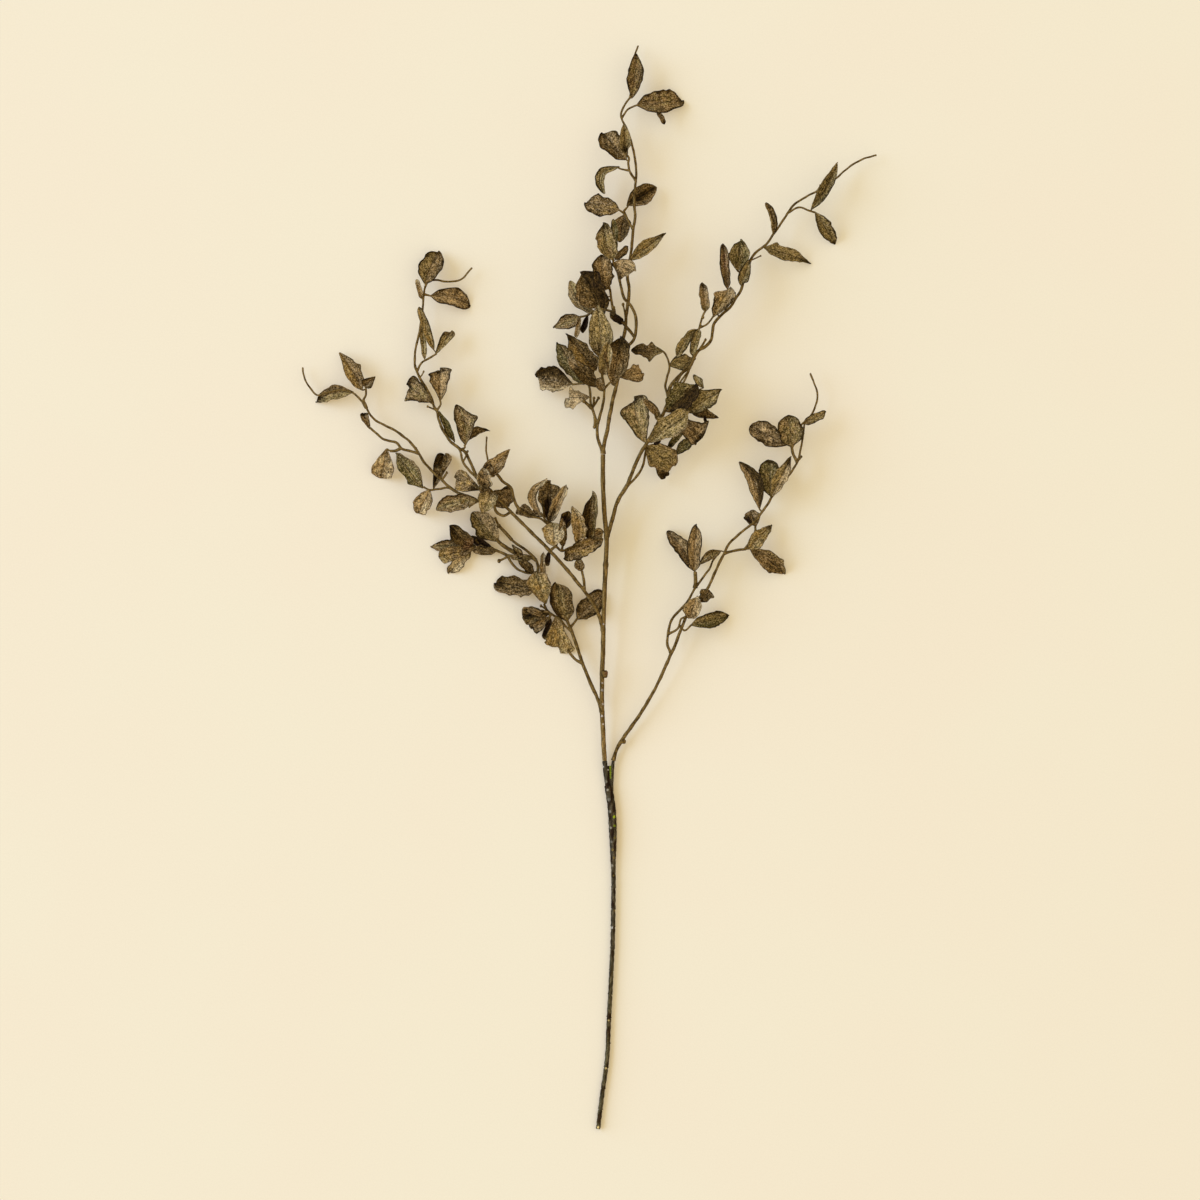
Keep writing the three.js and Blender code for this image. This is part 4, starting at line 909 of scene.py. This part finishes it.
lowerRightSpray["leaves"] = [
    leaf(787, 445, 750, 426, 20, -6, "round: brown; pink patches; dark rim", arch=3, ragged=0.6),
    leaf(792, 446, 787, 416, 24, 5, "round: olive; brown patches; dark rim", fold=8, curl=36,
         ragged=0.3, slant=-0.15),
    leaf(803, 424, 825, 413, 9, -2, "strap: pale; brown root; dark rim"),
    leaf(759, 509, 739, 462, 14, -4, "brown; pink leftHalf; dark rightHalf", tuck=50, fold=18,
         bend=6),
    leaf(770, 496, 769, 460, 20, -4, "round: moss; olive patches; dark rim", fold=12, ragged=0.5,
         slant=-0.2),
    leaf(771, 496, 790, 458, 14, 8, "pale; pink rightHalf; dark tip", fold=24),
    leaf(756, 526, 750, 511, 14, -3, "round: brown; umber patches", ragged=0.5),
    leaf(748, 549, 771, 525, 15, -5, "egg: pale; golden patches; dark tip", fold=18),
    leaf(750, 549, 784.5, 574, 17, -15, "umber; olive leftEdge; brown patches", roll=-8, bend=-2,
         ragged=0.6, corners=((0.7, -1, 0.4), (0.66, 1, 0.2))),
    leaf(694.5, 571, 667, 531, 16, -7, "brown; pink patches; dark rim", fold=26, bend=3),
    leaf(694.5, 571, 696.5, 526, 13, 6, "strap: pink; brown patches; dark rim", fold=28, bend=-1.5,
         ragged=0.5, slant=-0.5),
    leaf(721, 551, 699, 564, 9, 2, "umber; dark tip; pale middle", bend=2),
    leaf(701, 602, 709, 591, 14, 2, "fan: umber; dark root"),
    leaf(689, 618, 696, 597, 16, 5, "round: pink; beige rim; brown root", curl=50),
    leaf(691, 625, 729, 616, 15, -13, "moss; olive leftHalf; dark rim", arch=2.5, roll=10),
    leaf(752, 524, 745, 517, 6, -2, "fan: dark; umber tip"),
]

leftSpray = {"name": "left", "node": "left_spray"}
leftSpray["knobs"] = [
    (302.5, 368, 1.8), (471.5, 268, 1.8), (487, 438, 1.8), (416, 449, 3.2),
]
leftSpray["patches"] = [
    (550, 530, 16, "deepBark"), (570, 546, 14, "deepBark"), (488, 490, 12, "umber"),
]
leftSpray["stubs"] = [
    (437, 411, 428, 407, 1.8, 2.2), (463, 462, 468, 452, 2.0, 2.6), (442, 480, 447, 473, 2.4, 2.8),
    (366, 408, 363.5, 401, 3.0, 3.4), (552, 520, 567, 489, 1.4, 2.8),
    (420, 378, 424, 372, 1.6, 2.2), (519, 503, 520, 510, 2.6, 3.4), (466, 496, 462, 503, 2.2, 2.8),
    (585, 591, 580, 586, 1.8, 2.4), (478, 501, 470, 507, 1.8, 2.4),
]
leftSpray["twigs"] = [
    twig(3.3, 1.3, 0, (603, 630, 12.6), (600.5, 620, 13.4), (596, 609, 14.2), (586.7, 594, 15),
         (568, 571, 16.5), (550, 551, 17.5), (527, 528, 18), (507, 508, 18), (490, 490, 17.5),
         (482, 484, 17), (476, 475, 17), (471, 463, 16.5), (465, 452, 16), (460, 449, 15.5),
         (451, 442, 15), (446, 435, 14.5), (442, 428, 14.5), (439, 420, 14), (437, 411, 14),
         (434, 406, 13.5), (432, 399, 13.5), (425, 386, 13), (420, 378, 12.5), (416, 368, 12.5),
         (415, 360, 12), (416, 348, 12), (419, 335, 11.5), (422, 315, 11), (424, 296, 10.5),
         (425, 288, 10.5), (428, 282, 10), (436, 280, 9.5), (445, 281.5, 9), (458, 280.5, 8.5),
         (463, 278, 8.5), (467, 273.5, 8), (471.5, 268, 7.5)),
    twig(2, 1.6, -1, (478, 479), (467, 468), (463, 461), (461, 453), (459, 448)),
    twig(1.5, 1.3, 0, (418, 371), (422, 363), (427, 360), (437, 354)),
    twig(1.5, 1.3, 0, (424, 294), (431, 296)),
    twig(1.6, 1.4, 0, (434, 403), (430, 402)),
    twig(1.4, 1.3, 1, (437, 411), (441, 404), (440, 399)),
    twig(1.4, 1.3, 0, (461, 449.5), (465, 448), (465, 445)),
    twig(1.5, 1.1, 1, (484, 485), (487, 474), (488, 461), (486.5, 450), (487, 438)),
    twig(2.4, 2.4, 1, (487, 475), (496, 474), (503, 482), (511, 488), (515, 502), (520, 511)),
    twig(2.4, 2.3, 0, (493, 500), (496, 511), (504, 516), (511, 512)),
    twig(2, 1.5, -2, (550, 551), (556, 547), (562, 551), (570, 548), (580, 545), (590, 541),
         (598, 540)),
    twig(1.7, 1.5, -1, (556, 547), (557, 542), (552, 534), (548, 524)),
    twig(1.6, 1.4, 0, (548, 524), (541, 519), (530, 516), (522, 512)),
    twig(1.5, 1.4, 2, (548, 524), (541, 513)),
    twig(1.6, 1.5, 1, (548, 524), (549, 518)),
    twig(1.5, 1.4, -2, (562, 551), (563, 540), (562, 528)),
    twig(2.2, 2, 1, (585, 591), (584, 581), (582, 571)),
    twig(2.6, 1.2, 0, (496, 497, 17.5), (488, 501, 16.5), (478, 501, 15.5), (466, 496, 14.5),
         (455, 491, 14), (448, 486, 13.5), (442, 480, 13), (436, 475, 13), (430, 469, 12.5),
         (424, 462, 12.5), (420, 455, 12), (416, 449, 12), (410, 442, 11.5), (404, 437, 11.5),
         (396, 431, 11), (388, 427, 11), (378, 422, 10.5), (373, 418, 10.5), (369, 413, 10),
         (366, 407, 10), (358, 397, 10), (350, 391.5, 9.5), (338, 390, 9), (326, 393, 9),
         (317, 395, 8.5), (311, 389, 8), (306, 382, 8), (303, 373, 7.5), (302.5, 368, 7.5)),
    twig(2.1, 1.7, -1, (418, 454), (410, 451), (402, 449), (397, 443), (390, 441), (383, 439),
         (376, 433), (370, 428)),
    twig(2.4, 2, -1, (401, 449), (396, 451), (390, 451)),
    twig(1.8, 1.4, -1, (455, 491), (449, 488), (440, 489), (430, 490), (424, 487)),
    twig(2.4, 1.3, 1, (366, 408), (363, 402), (366, 395), (366, 388)),
]
leftSpray["leaves"] = [
    leaf(425, 284, 437.5, 252, 21, -4, "round: brown; olive leftHalf; dark rim", curl=34,
         ragged=0.5, bend=-1, corners=((0.18, -1, 0.2),), horns=((0.7, 2.5), (0.1, 1.5))),
    leaf(422, 299, 417, 280, 5, 2, "strap: pink; beige tip"),
    leaf(431, 296, 470, 304, 18, -11, "round: brown; pink patches; dark rim", bend=-3.5,
         ragged=0.4, slant=0.3),
    leaf(434, 350, 419.5, 308, 7.5, 4, "strap: pale; golden patches; dark rightEdge", fold=20,
         curl=40, ragged=0.5),
    leaf(425, 360, 422, 323, 6, -4, "strap: pale; olive patches", ragged=0.5),
    leaf(436, 354, 450.5, 332, 11, -2, "fan: pale; dark leftEdge; umber tip", fold=22, curl=40,
         ragged=0.5, slant=0.6),
    leaf(431, 402, 409, 387, 25, -6, "fan: brown; olive patches; dark rim", curl=20, slant=0.3),
    leaf(441, 400, 440, 370, 22, -2, "fan: pink; brown leftHalf; dark rim", curl=34,
         horns=((0, -2.5),)),
    leaf(455, 442, 440, 412, 7, 5, "moss; dark leftEdge", fold=30),
    leaf(466, 445, 456, 405, 17, -3, "brown; olive patches; dark rim", roll=6, bend=4, ragged=0.4,
         corners=((0.58, 1, 0.6), (0.5, 1, 0.5), (0.7, 1, 0.2))),
    leaf(468, 441, 490, 431, 8, -5, "spindle: umber; dark tip", fold=20, bend=-5),
    leaf(485, 477, 510, 451, 16, 1, "egg: pink; dark root; brown rightHalf", fold=18, curl=40),
    leaf(487, 489, 483, 469, 14, 4, "round: pink; dark patches; beige rim", curl=60, ragged=1.6),
    leaf(480, 490, 456, 479, 21, -4, "fan: brown; golden patches; dark root", fold=6, curl=10,
         ragged=0.4, slant=0.08),
    leaf(491, 503, 513, 494, 20, -4, "round: brown; dark rim; umber patches", curl=30),
    leaf(480, 501, 436, 509.5, 17, -6, "brown; pale middle; dark rightEdge", tuck=50, arch=3,
         bend=3),
    leaf(492, 491, 484, 513, 17, 5, "round: pale; beige patches; umber root", curl=56, ragged=1.6),
    leaf(353, 392, 315.5, 401, 14, -9.5, "brown; pale leftHalf; dark tip", bend=4),
    leaf(362, 390, 339, 352, 15, -5, "egg: brown; golden leftHalf; umber rightEdge", bend=1.6,
         roll=-6, ragged=0.5, corners=((0.48, 1, 0.5),)),
    leaf(365, 387, 375, 377, 11, 2, "egg: umber; dark rim; brown middle", fold=30),
    leaf(370, 429, 363.5, 413.5, 8, -1, "fan: brown; dark tip", fold=30, curl=50),
    leaf(387, 449, 381, 478, 22, -7, "spoon: pink; beige patches; brown root", ragged=0.4),
    leaf(423, 488, 396, 454, 16.5, -6, "moss; olive middle; brown rightEdge", fold=10, ragged=0.7,
         corners=((0.25, -1, 0.3), (0.6, 1, 0.2))),
    leaf(434, 488, 444, 455, 15, -9, "fan: umber; dark leftHalf; brown rightEdge", fold=16,
         curl=34, arch=0, ragged=0.4, slant=0.35, horns=((0.9, 2.5), (-0.9, 2))),
    leaf(430, 490, 418, 513, 17, -9, "round: pink; beige patches; brown rim"),
    leaf(541, 514, 547, 480, 9, 7, "strap: pink; dark rightEdge; beige tip", bend=-11.5),
    leaf(548, 520, 551, 484, 26, -4, "fan: umber; brown patches; dark root", curl=24, ragged=1.4),
    leaf(549, 519, 548, 496, 11, 5, "round: dark; umber rim", fold=30),
    leaf(549, 522, 566, 486, 10, 11, "strap: pink; dark root; beige tip", fold=34),
    leaf(538, 518, 519, 508, 13, -3, "fan: umber; dark root; brown rim"),
    leaf(552, 523, 554, 546, 20, 6, "round: beige; golden patches; pale root", ragged=0.6,
         bend=-1),
    leaf(562, 529, 568, 512, 11, 3, "fan: dark; umber tip"),
    leaf(563, 547, 563, 520, 8, 4, "strap: umber; brown tip"),
    leaf(577, 545, 572, 507, 14, 7, "pink; golden patches; beige tip", fold=26, bend=5),
    leaf(589, 540, 592, 495.5, 14, 4, "strap: umber; dark leftHalf; olive rightEdge", fold=30,
         bend=-1, ragged=0.6, slant=0.5),
    leaf(603, 539, 564, 558, 16, -2, "strap: brown; golden patches; dark rim", curl=60,
         ragged=1.6),
    leaf(582, 571, 577, 560, 9, 0, "round: brown; pale tip; umber patches", curl=60),
    leaf(549, 552, 547, 566, 5, -2, "strap: dark; umber tip"),
    leaf(487, 478, 492, 466, 8, 3, "fan: pink; umber patches; dark rim", curl=60),
    leaf(490, 497, 480, 486, 10, 2, "round: brown; pale tip; dark patches", curl=60),
    leaf(561, 533, 569, 519, 9, -2, "fan: umber; brown tip"),
    leaf(590, 536, 603, 533, 11, 1, "fan: brown; pale rim; dark root", curl=60),
    leaf(543, 517, 532, 512, 8, -5, "fan: brown; dark rim"),
    leaf(442, 478, 436, 466, 6, -2, "strap: umber; dark tip"),
]

lowerLeftSpray = {"name": "lowerLeft", "node": "lower_left_spray"}
lowerLeftSpray["knobs"] = [
    (499, 561, 3.8), (549, 619, 2.4),
]
lowerLeftSpray["patches"] = [
    (476, 546, 12, "umber"), (549, 606, 10, "deepBark"), (520, 552, 9, "deepBark"),
]
lowerLeftSpray["stubs"] = [
    (547, 610, 541, 606, 2.0, 2.8), (527, 556, 523, 562, 1.8, 2.6), (480, 547, 476, 540, 2.0, 2.6),
    (560, 607, 565, 602, 1.8, 2.4), (545, 612, 526, 622, 1.8, 3.0), (511, 540, 499, 526, 3.4, 4.2),
]
lowerLeftSpray["twigs"] = [
    twig(3.1, 1.8, 0, (602, 712, 9.2), (598.5, 701, 9.3), (590.6, 683, 9.4), (583, 664.5, 9.2),
         (575, 641, 9), (573, 635, 9), (570, 627.5, 9), (566, 618, 9), (560, 607, 9),
         (553, 598, 8.5), (547, 590, 8.5), (541, 580, 8.5), (537.8, 572, 8), (538, 566, 8),
         (536, 560, 8), (527, 551, 8), (513, 541, 7.5), (507, 535, 7.5), (499, 526, 7),
         (495, 517, 7)),
    twig(2.4, 2, 0, (582, 663), (576, 660), (571, 655), (567.6, 649)),
    twig(1.8, 1.5, 1, (571, 631), (566, 627), (560, 619), (553, 615), (547, 610), (544, 604)),
    twig(1.9, 1.7, -2, (570, 627.5), (574, 623), (577, 619)),
    twig(2.5, 1.7, -3, (536, 560), (527, 556), (515, 556), (507, 555), (500, 552), (490, 548),
         (480, 547), (474, 546)),
    twig(2, 1.8, 0, (507, 556), (514, 566), (521, 571), (529, 573), (537, 572)),
    twig(1.7, 1.6, 0, (509, 556), (499, 561)),
    twig(3.8, 3.0, 0, (521, 556), (510, 550), (500, 543), (496, 539)),
    twig(1.8, 1.8, 0, (549, 615), (549, 619)),
]
lowerLeftSpray["leaves"] = [
    leaf(498, 541, 472, 512, 22, -3, "olive; dark leftEdge; pink rightHalf", tuck=-70),
    leaf(472, 545, 450, 526, 15, 7, "strap: umber; dark tip; redBrown root", fold=30, curl=50,
         bend=-2),
    leaf(474, 545, 431, 546, 14, -4, "brown; dark rightEdge; pale middle", roll=14),
    leaf(475, 548, 439, 557, 15, 4, "fan: brown; pale tip; golden patches"),
    leaf(470, 549, 450, 572, 12, -5, "strap: beige; pale root; umber rim", ragged=1.3,
         horns=((0.8, 2.5),)),
    leaf(492, 548, 467, 536, 8, -4, "dark; umber tip", fold=30),
    leaf(534, 573, 518, 558, 9, 3, "umber; dark rim", fold=24),
    leaf(543, 583, 543, 553, 6, 2, "strap: pink; beige tip", fold=24),
    leaf(537, 588, 495, 583, 19, -5, "strap: umber; dark tip; brown leftEdge", roll=10,
         ragged=1.3),
    leaf(546, 603, 535, 572, 23, 4, "spoon: pale; golden patches; brown rim", curl=20, ragged=0.6),
    leaf(567, 621, 556, 583, 21, 2, "round: umber; dark leftEdge; olive middle", roll=-10,
         ragged=0.5, slant=-0.3),
    leaf(577, 619, 603, 593, 20, -2, "round: umber; dark rim; brown middle", fold=8, curl=10),
    leaf(550, 613, 523, 617, 17, -1, "fan: umber; dark middle; pink rightEdge", tuck=60),
    leaf(550, 617, 532, 629, 14, -4, "fan: brown; dark rim"),
    leaf(556, 617, 559, 649, 27, -6, "fan: golden; pale patches; brown root", curl=20,
         slant=-0.25),
    leaf(551, 619, 544, 639, 7, -8, "strap: dark; umber tip"),
    leaf(468, 547, 450, 540, 9, 0, "fan: brown; pale rim; dark root", curl=50),
    leaf(543, 615, 527, 608, 8, 2, "strap: brown; pink tip; dark rim", curl=60),
    leaf(496, 551, 473, 549.5, 9, -1, "strap: umber; brown patches"),
    leaf(522, 556, 512, 545, 7, 2, "egg: umber; olive patches; dark rim", fold=30),
    leaf(531, 559, 511, 557, 6, 1, "strap: olive; umber patches; brown tip"),
]

for spray in (centreSpray, upperRightSpray, lowerRightSpray, leftSpray, lowerLeftSpray):
    growSpray(spray)
bpy.data.objects.remove(blank)


def stemColours(stem, look):   # a second tone in drawn-out lumps, and round patches
    places = meshPlaces(stem)
    lumps = cloud(places * (1, 0.3, 1), look["toneSize"], 3.0)
    near = ramp(lumps, -0.15, 0.45)[:, None]
    colours = blended(np.array(tones[look["tone"]]), tones[look["secondTone"]], near)
    return np.clip(patched(colours, places, look["patches"], 0.4, lumps), darkest, 1)


def alongRoute(route, places):   # the way out from a stem's middle line, for a stem along Y
    line = smoothRoute(lifted(route), 1.0)
    line = line[np.argsort(line[:, 1])]
    middle = np.c_[np.interp(places[:, 1], line[:, 1], line[:, 0]), places[:, 1],
                   np.interp(places[:, 1], line[:, 1], line[:, 2])]
    out = places - middle
    return out / np.maximum(np.linalg.norm(out, axis=1), 1e-6)[:, None]


# The main stem: brown bark with lengthwise ridges, a node and a bud

mainStem = {
    "route": [
        (604.7, 760.6, 6.33), (604, 750, 7.1), (603, 730, 8.2), (602, 705, 9.5), (602, 680, 10.6),
        (603, 650, 11.8), (603.5, 620, 13), (605, 580, 14.6), (606, 560, 15.4),
        (606.5, 537, 16.4), (604.5, 515, 17.4), (603, 484, 18.8), (603, 455, 20.1),
    ],
    "width": 4.9,
    "step": 1.2,
    "ridges": 0.3,
    "ridgeSize": (1.5, 11.0),       # across and along
    "bands": [                      # (down, half length, extra width)
        (565, 2.4, 1.3), (674, 3.0, 0.8), (630, 2.0, 0.5), (712, 2.0, 0.5), (537, 2.4, 0.8),
        (745, 1.8, 0.3), (596, 1.6, 0.3), (500, 1.6, 0.35),
    ],
    "bud": (604.9, 674, 14.0),
    "budSize": 7.6,
    "budSeed": 4.4,
    "tone": "bark",
    "secondTone": "umber",
    "toneSize": 3.4,
    # The small umber and red-brown patches down the right side from 722 to 752 are partly the
    # bark's own colour and partly painted shade on the side turned from the light
    "patches": [
        (605.4, 674, 6, "umber"), (606.4, 673, 2.4, "redBrown"), (606, 565, 5, "umber"),
        (604, 750, 26, "tan"), (605.0, 722, 1.8, "umber"), (605.2, 728, 1.9, "umber"),
        (605.4, 734, 1.8, "redBrown"), (605.8, 740, 1.7, "umber"), (606.2, 746, 1.5, "umber"),
        (606.6, 752, 1.3, "umber"), (602.4, 690, 1.5, "chalk"), (603, 704, 1.3, "chalk"),
        (602, 716, 1.6, "chalk"), (603.4, 724, 1.2, "chalk"), (602.4, 683, 1.2, "chalk"),
        (603.4, 624, 1.1, "chalk"),
    ],
}


def makeMainStem():
    line = smoothRoute(lifted(mainStem["route"]), mainStem["step"])
    widths = np.full(len(line), mainStem["width"])
    for down, reach, extra in mainStem["bands"]:
        widths += extra * hump(line[:, 1], drawing["down"] - down, reach)
    stem = rodsObject("rod", [(line, widths)])
    bud = knob(lifted([mainStem["bud"]])[0], mainStem["budSize"], mainStem["budSeed"])
    stem = joined([bud, stem], "mainStemBark")
    applied(stem, "SUBSURF", levels=1, render_levels=1)
    places = meshPlaces(stem)
    wide, long = mainStem["ridgeSize"]
    ridges = cloud(places / (wide, long, wide), 1.0, 1.0) + 0.5 * cloud(places, 1.4, 2.0)
    places += alongRoute(mainStem["route"], places) * (mainStem["ridges"] * ridges)[:, None]
    movePlaces(stem, places)
    # painted shade on the stem's sides and underside
    paint(stem, stemColours(stem, mainStem) * paintedFlankShade(stem))
    bpy.ops.object.shade_smooth()
    shown(stem, "main_stem", "main_stem", mainBark)


makeMainStem()
print("main stem made")


# The lower stem: dark, bound from its fork down, and wound round with slanting ridges

lowerStem = {
    "foot": [
        (598, 1130, 2.6), (601.6, 1100, 2.6), (607, 1060, 2.7), (609, 1020, 2.8), (611, 980, 3),
        (612.8, 940, 3.2), (613.4, 900, 3.5), (613.6, 878, 3.7), (613, 850, 3.85),
        (612.5, 820, 3.85),
    ],
    "sleeve": [
        (613.5, 880, 3.85), (613.2, 862, 3.85), (613, 835, 3.85), (611.6, 808, 3.85),
        (608.4, 786, 3.85),
    ],
    "leftArm": [(612.5, 815, 3.9), (608.8, 792, 4.2), (606.0, 774, 5.3), (604.7, 761, 6.3)],
    "rightArm": [(613, 815, 3.9), (611.6, 792, 4), (612.2, 774, 4.6), (613.1, 761, 5.3)],
    "sliver": [(609.9, 766, 5.2), (609.9, 774, 4.9), (610.2, 788, 4.4)],   # moss between the arms
    "widths": {   # at the start and at the end
        "foot": (4.7, 4.7), "sleeve": (4.7, 8.3), "leftArm": (5.8, 5.0), "rightArm": (4.2, 3.4),
        "sliver": (3.4, 3.4),
    },
    "sleeveTaper": 58,      # how far up its end the binding goes on widening
    "step": 1.5,
    "voxel": 0.42,
    "ridgeDepth": 0.3,
    "ridgeEvery": 7.5,      # millimetres along the stem from one wound ridge to the next
    "ridgesEnd": (800, 770),
    "sway": (0.8, 9.0),     # how far the wound ridges stray, and the size of what bends them
    "grain": (0.14, 1.2),   # depth and size
    "lumps": (0.2, 4.0),
    "rings": [889, 910, 928, 950, 972, 996, 1019, 1045, 1069, 1090, 1111],
    "ringWidth": 0.35,
    "cut": 0.02,            # how high its flat underside is
    "tone": "slate",
    "secondTone": "dark",
    "toneSize": 3.0,
    "footTint": (1.2, 1.22, 1.0),   # the bare foot is more olive than the sleeve
    "footFrom": (290, 420),         # below the origin
    # The ash patches, a little left of the middle from the fork down, are partly grey on the
    # binding and partly a painted highlight on its lit side
    "patches": [
        (610.2, 765.6, 1.3, "green"), (610.2, 767.4, 1.3, "green"), (610.2, 769.2, 1.3, "green"),
        (610.3, 771, 1.2, "green"), (610.4, 772.8, 1.2, "green"), (610.4, 774.6, 1.1, "green"),
        (610.5, 776.4, 1.0, "green"), (610.6, 778.2, 0.9, "green"), (614.2, 817, 1.8, "green"),
        (614.6, 826, 1.6, "green"), (615, 838, 1.5, "moss"), (608.2, 770, 1.2, "chalk"),
        (603, 767, 1.2, "chalk"), (609.0, 800, 2.4, "ash"), (606.4, 782, 2.0, "ash"),
        (607.6, 790, 2.0, "ash"), (610, 812, 2.0, "ash"), (610.8, 828, 2.0, "ash"),
        (611.4, 842, 1.8, "ash"), (612.6, 850, 1.5, "olive"), (614, 858, 1.5, "olive"),
        (612, 866, 2.0, "ash"), (613.6, 876, 1.5, "olive"), (611.8, 928, 1.5, "chalk"),
        (614.6, 911, 1.2, "pale"), (609, 972, 1.2, "ash"), (612.6, 996, 1.3, "chalk"),
        (608.6, 1021, 1.3, "beige"), (606, 1069, 1.4, "beige"), (598, 1128, 1.6, "beige"),
    ],
}


def lowerStemRods():
    rods = []
    for name, (fromWidth, toWidth) in lowerStem["widths"].items():
        line = smoothRoute(drawn(lowerStem[name]), lowerStem["step"])
        grown = np.linspace(0, 1, len(line))
        if name == "sleeve":
            grown = ramp(line[:, 1] - line[0, 1], 0, lowerStem["sleeveTaper"])
        rods.append((line, fromWidth + (toWidth - fromWidth) * grown))
    return rods


def lowerStemRelief(places, out):   # wound ridges, lumps and rings
    angle = np.arctan2(out[:, 0], out[:, 2])
    turn = places[:, 1] / lowerStem["ridgeEvery"] * 2 * math.pi
    stray, straySize = lowerStem["sway"]
    wound = np.abs(np.sin((turn + angle + stray * cloud(places, straySize)) / 2)) - 0.75
    start, end = (drawing["down"] - down for down in lowerStem["ridgesEnd"])
    relief = lowerStem["ridgeDepth"] * (1 - ramp(places[:, 1], start, end)) * wound
    (grain, grainSize), (lumps, lumpSize) = lowerStem["grain"], lowerStem["lumps"]
    relief += grain * cloud(places / (1, 2.2, 1), grainSize, 1.0)
    relief += lumps * cloud(places, lumpSize, 2.0)
    for down in lowerStem["rings"]:
        slant = places[:, 1] - (drawing["down"] - down) + 0.5 * out[:, 0]
        relief += lowerStem["ringWidth"] * (hump(slant, 1.1, 0.7) - hump(slant, 0, 0.6))
    return relief[:, None]


def makeLowerStem():
    stem = rodsObject("lowerStemBark", lowerStemRods())
    applied(stem, "REMESH", mode="VOXEL", voxel_size=lowerStem["voxel"] * mm)
    applied(stem, "SMOOTH", factor=0.6, iterations=6)
    places = meshPlaces(stem)
    out = alongRoute(lowerStem["foot"][:8] + lowerStem["sleeve"][2:], places)
    movePlaces(stem, places + out * lowerStemRelief(places, out))
    bpy.ops.object.mode_set(mode="EDIT")
    bpy.ops.mesh.select_all(action="SELECT")
    bpy.ops.mesh.bisect(plane_co=(0, 0, lowerStem["cut"] * mm), plane_no=(0, 0, 1),
                        use_fill=True, clear_inner=True)
    bpy.ops.object.mode_set(mode="OBJECT")
    colours = stemColours(stem, lowerStem)
    olive = ramp(-meshPlaces(stem)[:, 1], *lowerStem["footFrom"])[:, None]
    # painted shade on the stem's sides and underside
    paint(stem, blended(colours, colours * lowerStem["footTint"], olive) * paintedFlankShade(stem))
    bpy.ops.object.shade_smooth_by_angle(angle=sharpFrom)
    shown(stem, "lower_stem", "lower_stem", lowerBark)


makeLowerStem()
print("lower stem made")


# The table, the light and the camera

stage = {
    "tableSize": 12.0,
    "tableDrop": 0.2,                        # millimetres
    "tableTone": (0.766, 0.747, 0.621),
    "tableSecond": (0.776, 0.724, 0.605),
    "tablePaintedLight": (0.14, 0.075, 0.01),        # the table glows faintly warm, though it is no lamp: painted light that lightens and warms the shadows on it
    "tableRoughness": 0.9,
    "tableSpecular": 0.1,
    "skyTone": (1.0, 0.88, 0.65),
    "skyStrength": 0.83,
    "lampPlace": (-18.1, 4.2, 8.5),
    "lampSize": 18.6,
    "lampPower": 5500,
    "lampTone": (0.413, 0.609, 1.0),
    "cameraPlace": (0.010974, -0.012006, 4.512),     # over the middle of the drawing
    "lens": 135,
}


def makeTable():
    bpy.ops.mesh.primitive_plane_add(size=stage["tableSize"],
                                     location=(0, 0, -stage["tableDrop"] * mm))
    table = bpy.context.active_object
    table.name = "table"
    made = Maker("tableTop")
    broad = made.spread(made.noise(240, 2, 0.5), 0.3, 0.7, 0, 0.5)
    fine = made.spread(made.noise(1.6, 2, 0.5), 0.2, 0.8, 0.985, 1.015)
    tint = made.mix(broad, (*stage["tableTone"], 1), stage["tableSecond"])
    # Painted light: the table glows faintly warm, though it is no lamp, so its shadows are lighter
    # and warmer
    paintedTableLight = {"Emission Color": (*stage["tablePaintedLight"], 1), "Emission Strength": 1}
    table.data.materials.append(made.finish(made.shade(tint, fine), stage["tableRoughness"],
                                            stage["tableSpecular"], **paintedTableLight))


def makeLight():
    world = bpy.data.worlds.new("room")
    bpy.context.scene.world = world
    world.use_nodes = True
    sky = world.node_tree.nodes["Background"]
    sky.inputs["Color"].default_value = (*stage["skyTone"], 1)
    sky.inputs["Strength"].default_value = stage["skyStrength"]
    bpy.ops.object.light_add(type="AREA", location=stage["lampPlace"])
    lamp = bpy.context.active_object
    lamp.name = "window"
    lamp.data.size = stage["lampSize"]
    lamp.data.energy = stage["lampPower"]
    lamp.data.color = stage["lampTone"]
    lamp.visible_camera = False
    lamp.rotation_euler = (-Vector(stage["lampPlace"])).to_track_quat("-Z", "Y").to_euler()


def makeCamera():
    bpy.ops.object.camera_add(location=stage["cameraPlace"])
    camera = bpy.context.active_object
    camera.data.sensor_width = 36
    camera.data.lens = stage["lens"]
    camera.data.clip_end = 50
    bpy.context.scene.camera = camera
    bpy.context.scene.view_settings.view_transform = "Standard"


makeTable()
makeLight()
makeCamera()
print("stage set")
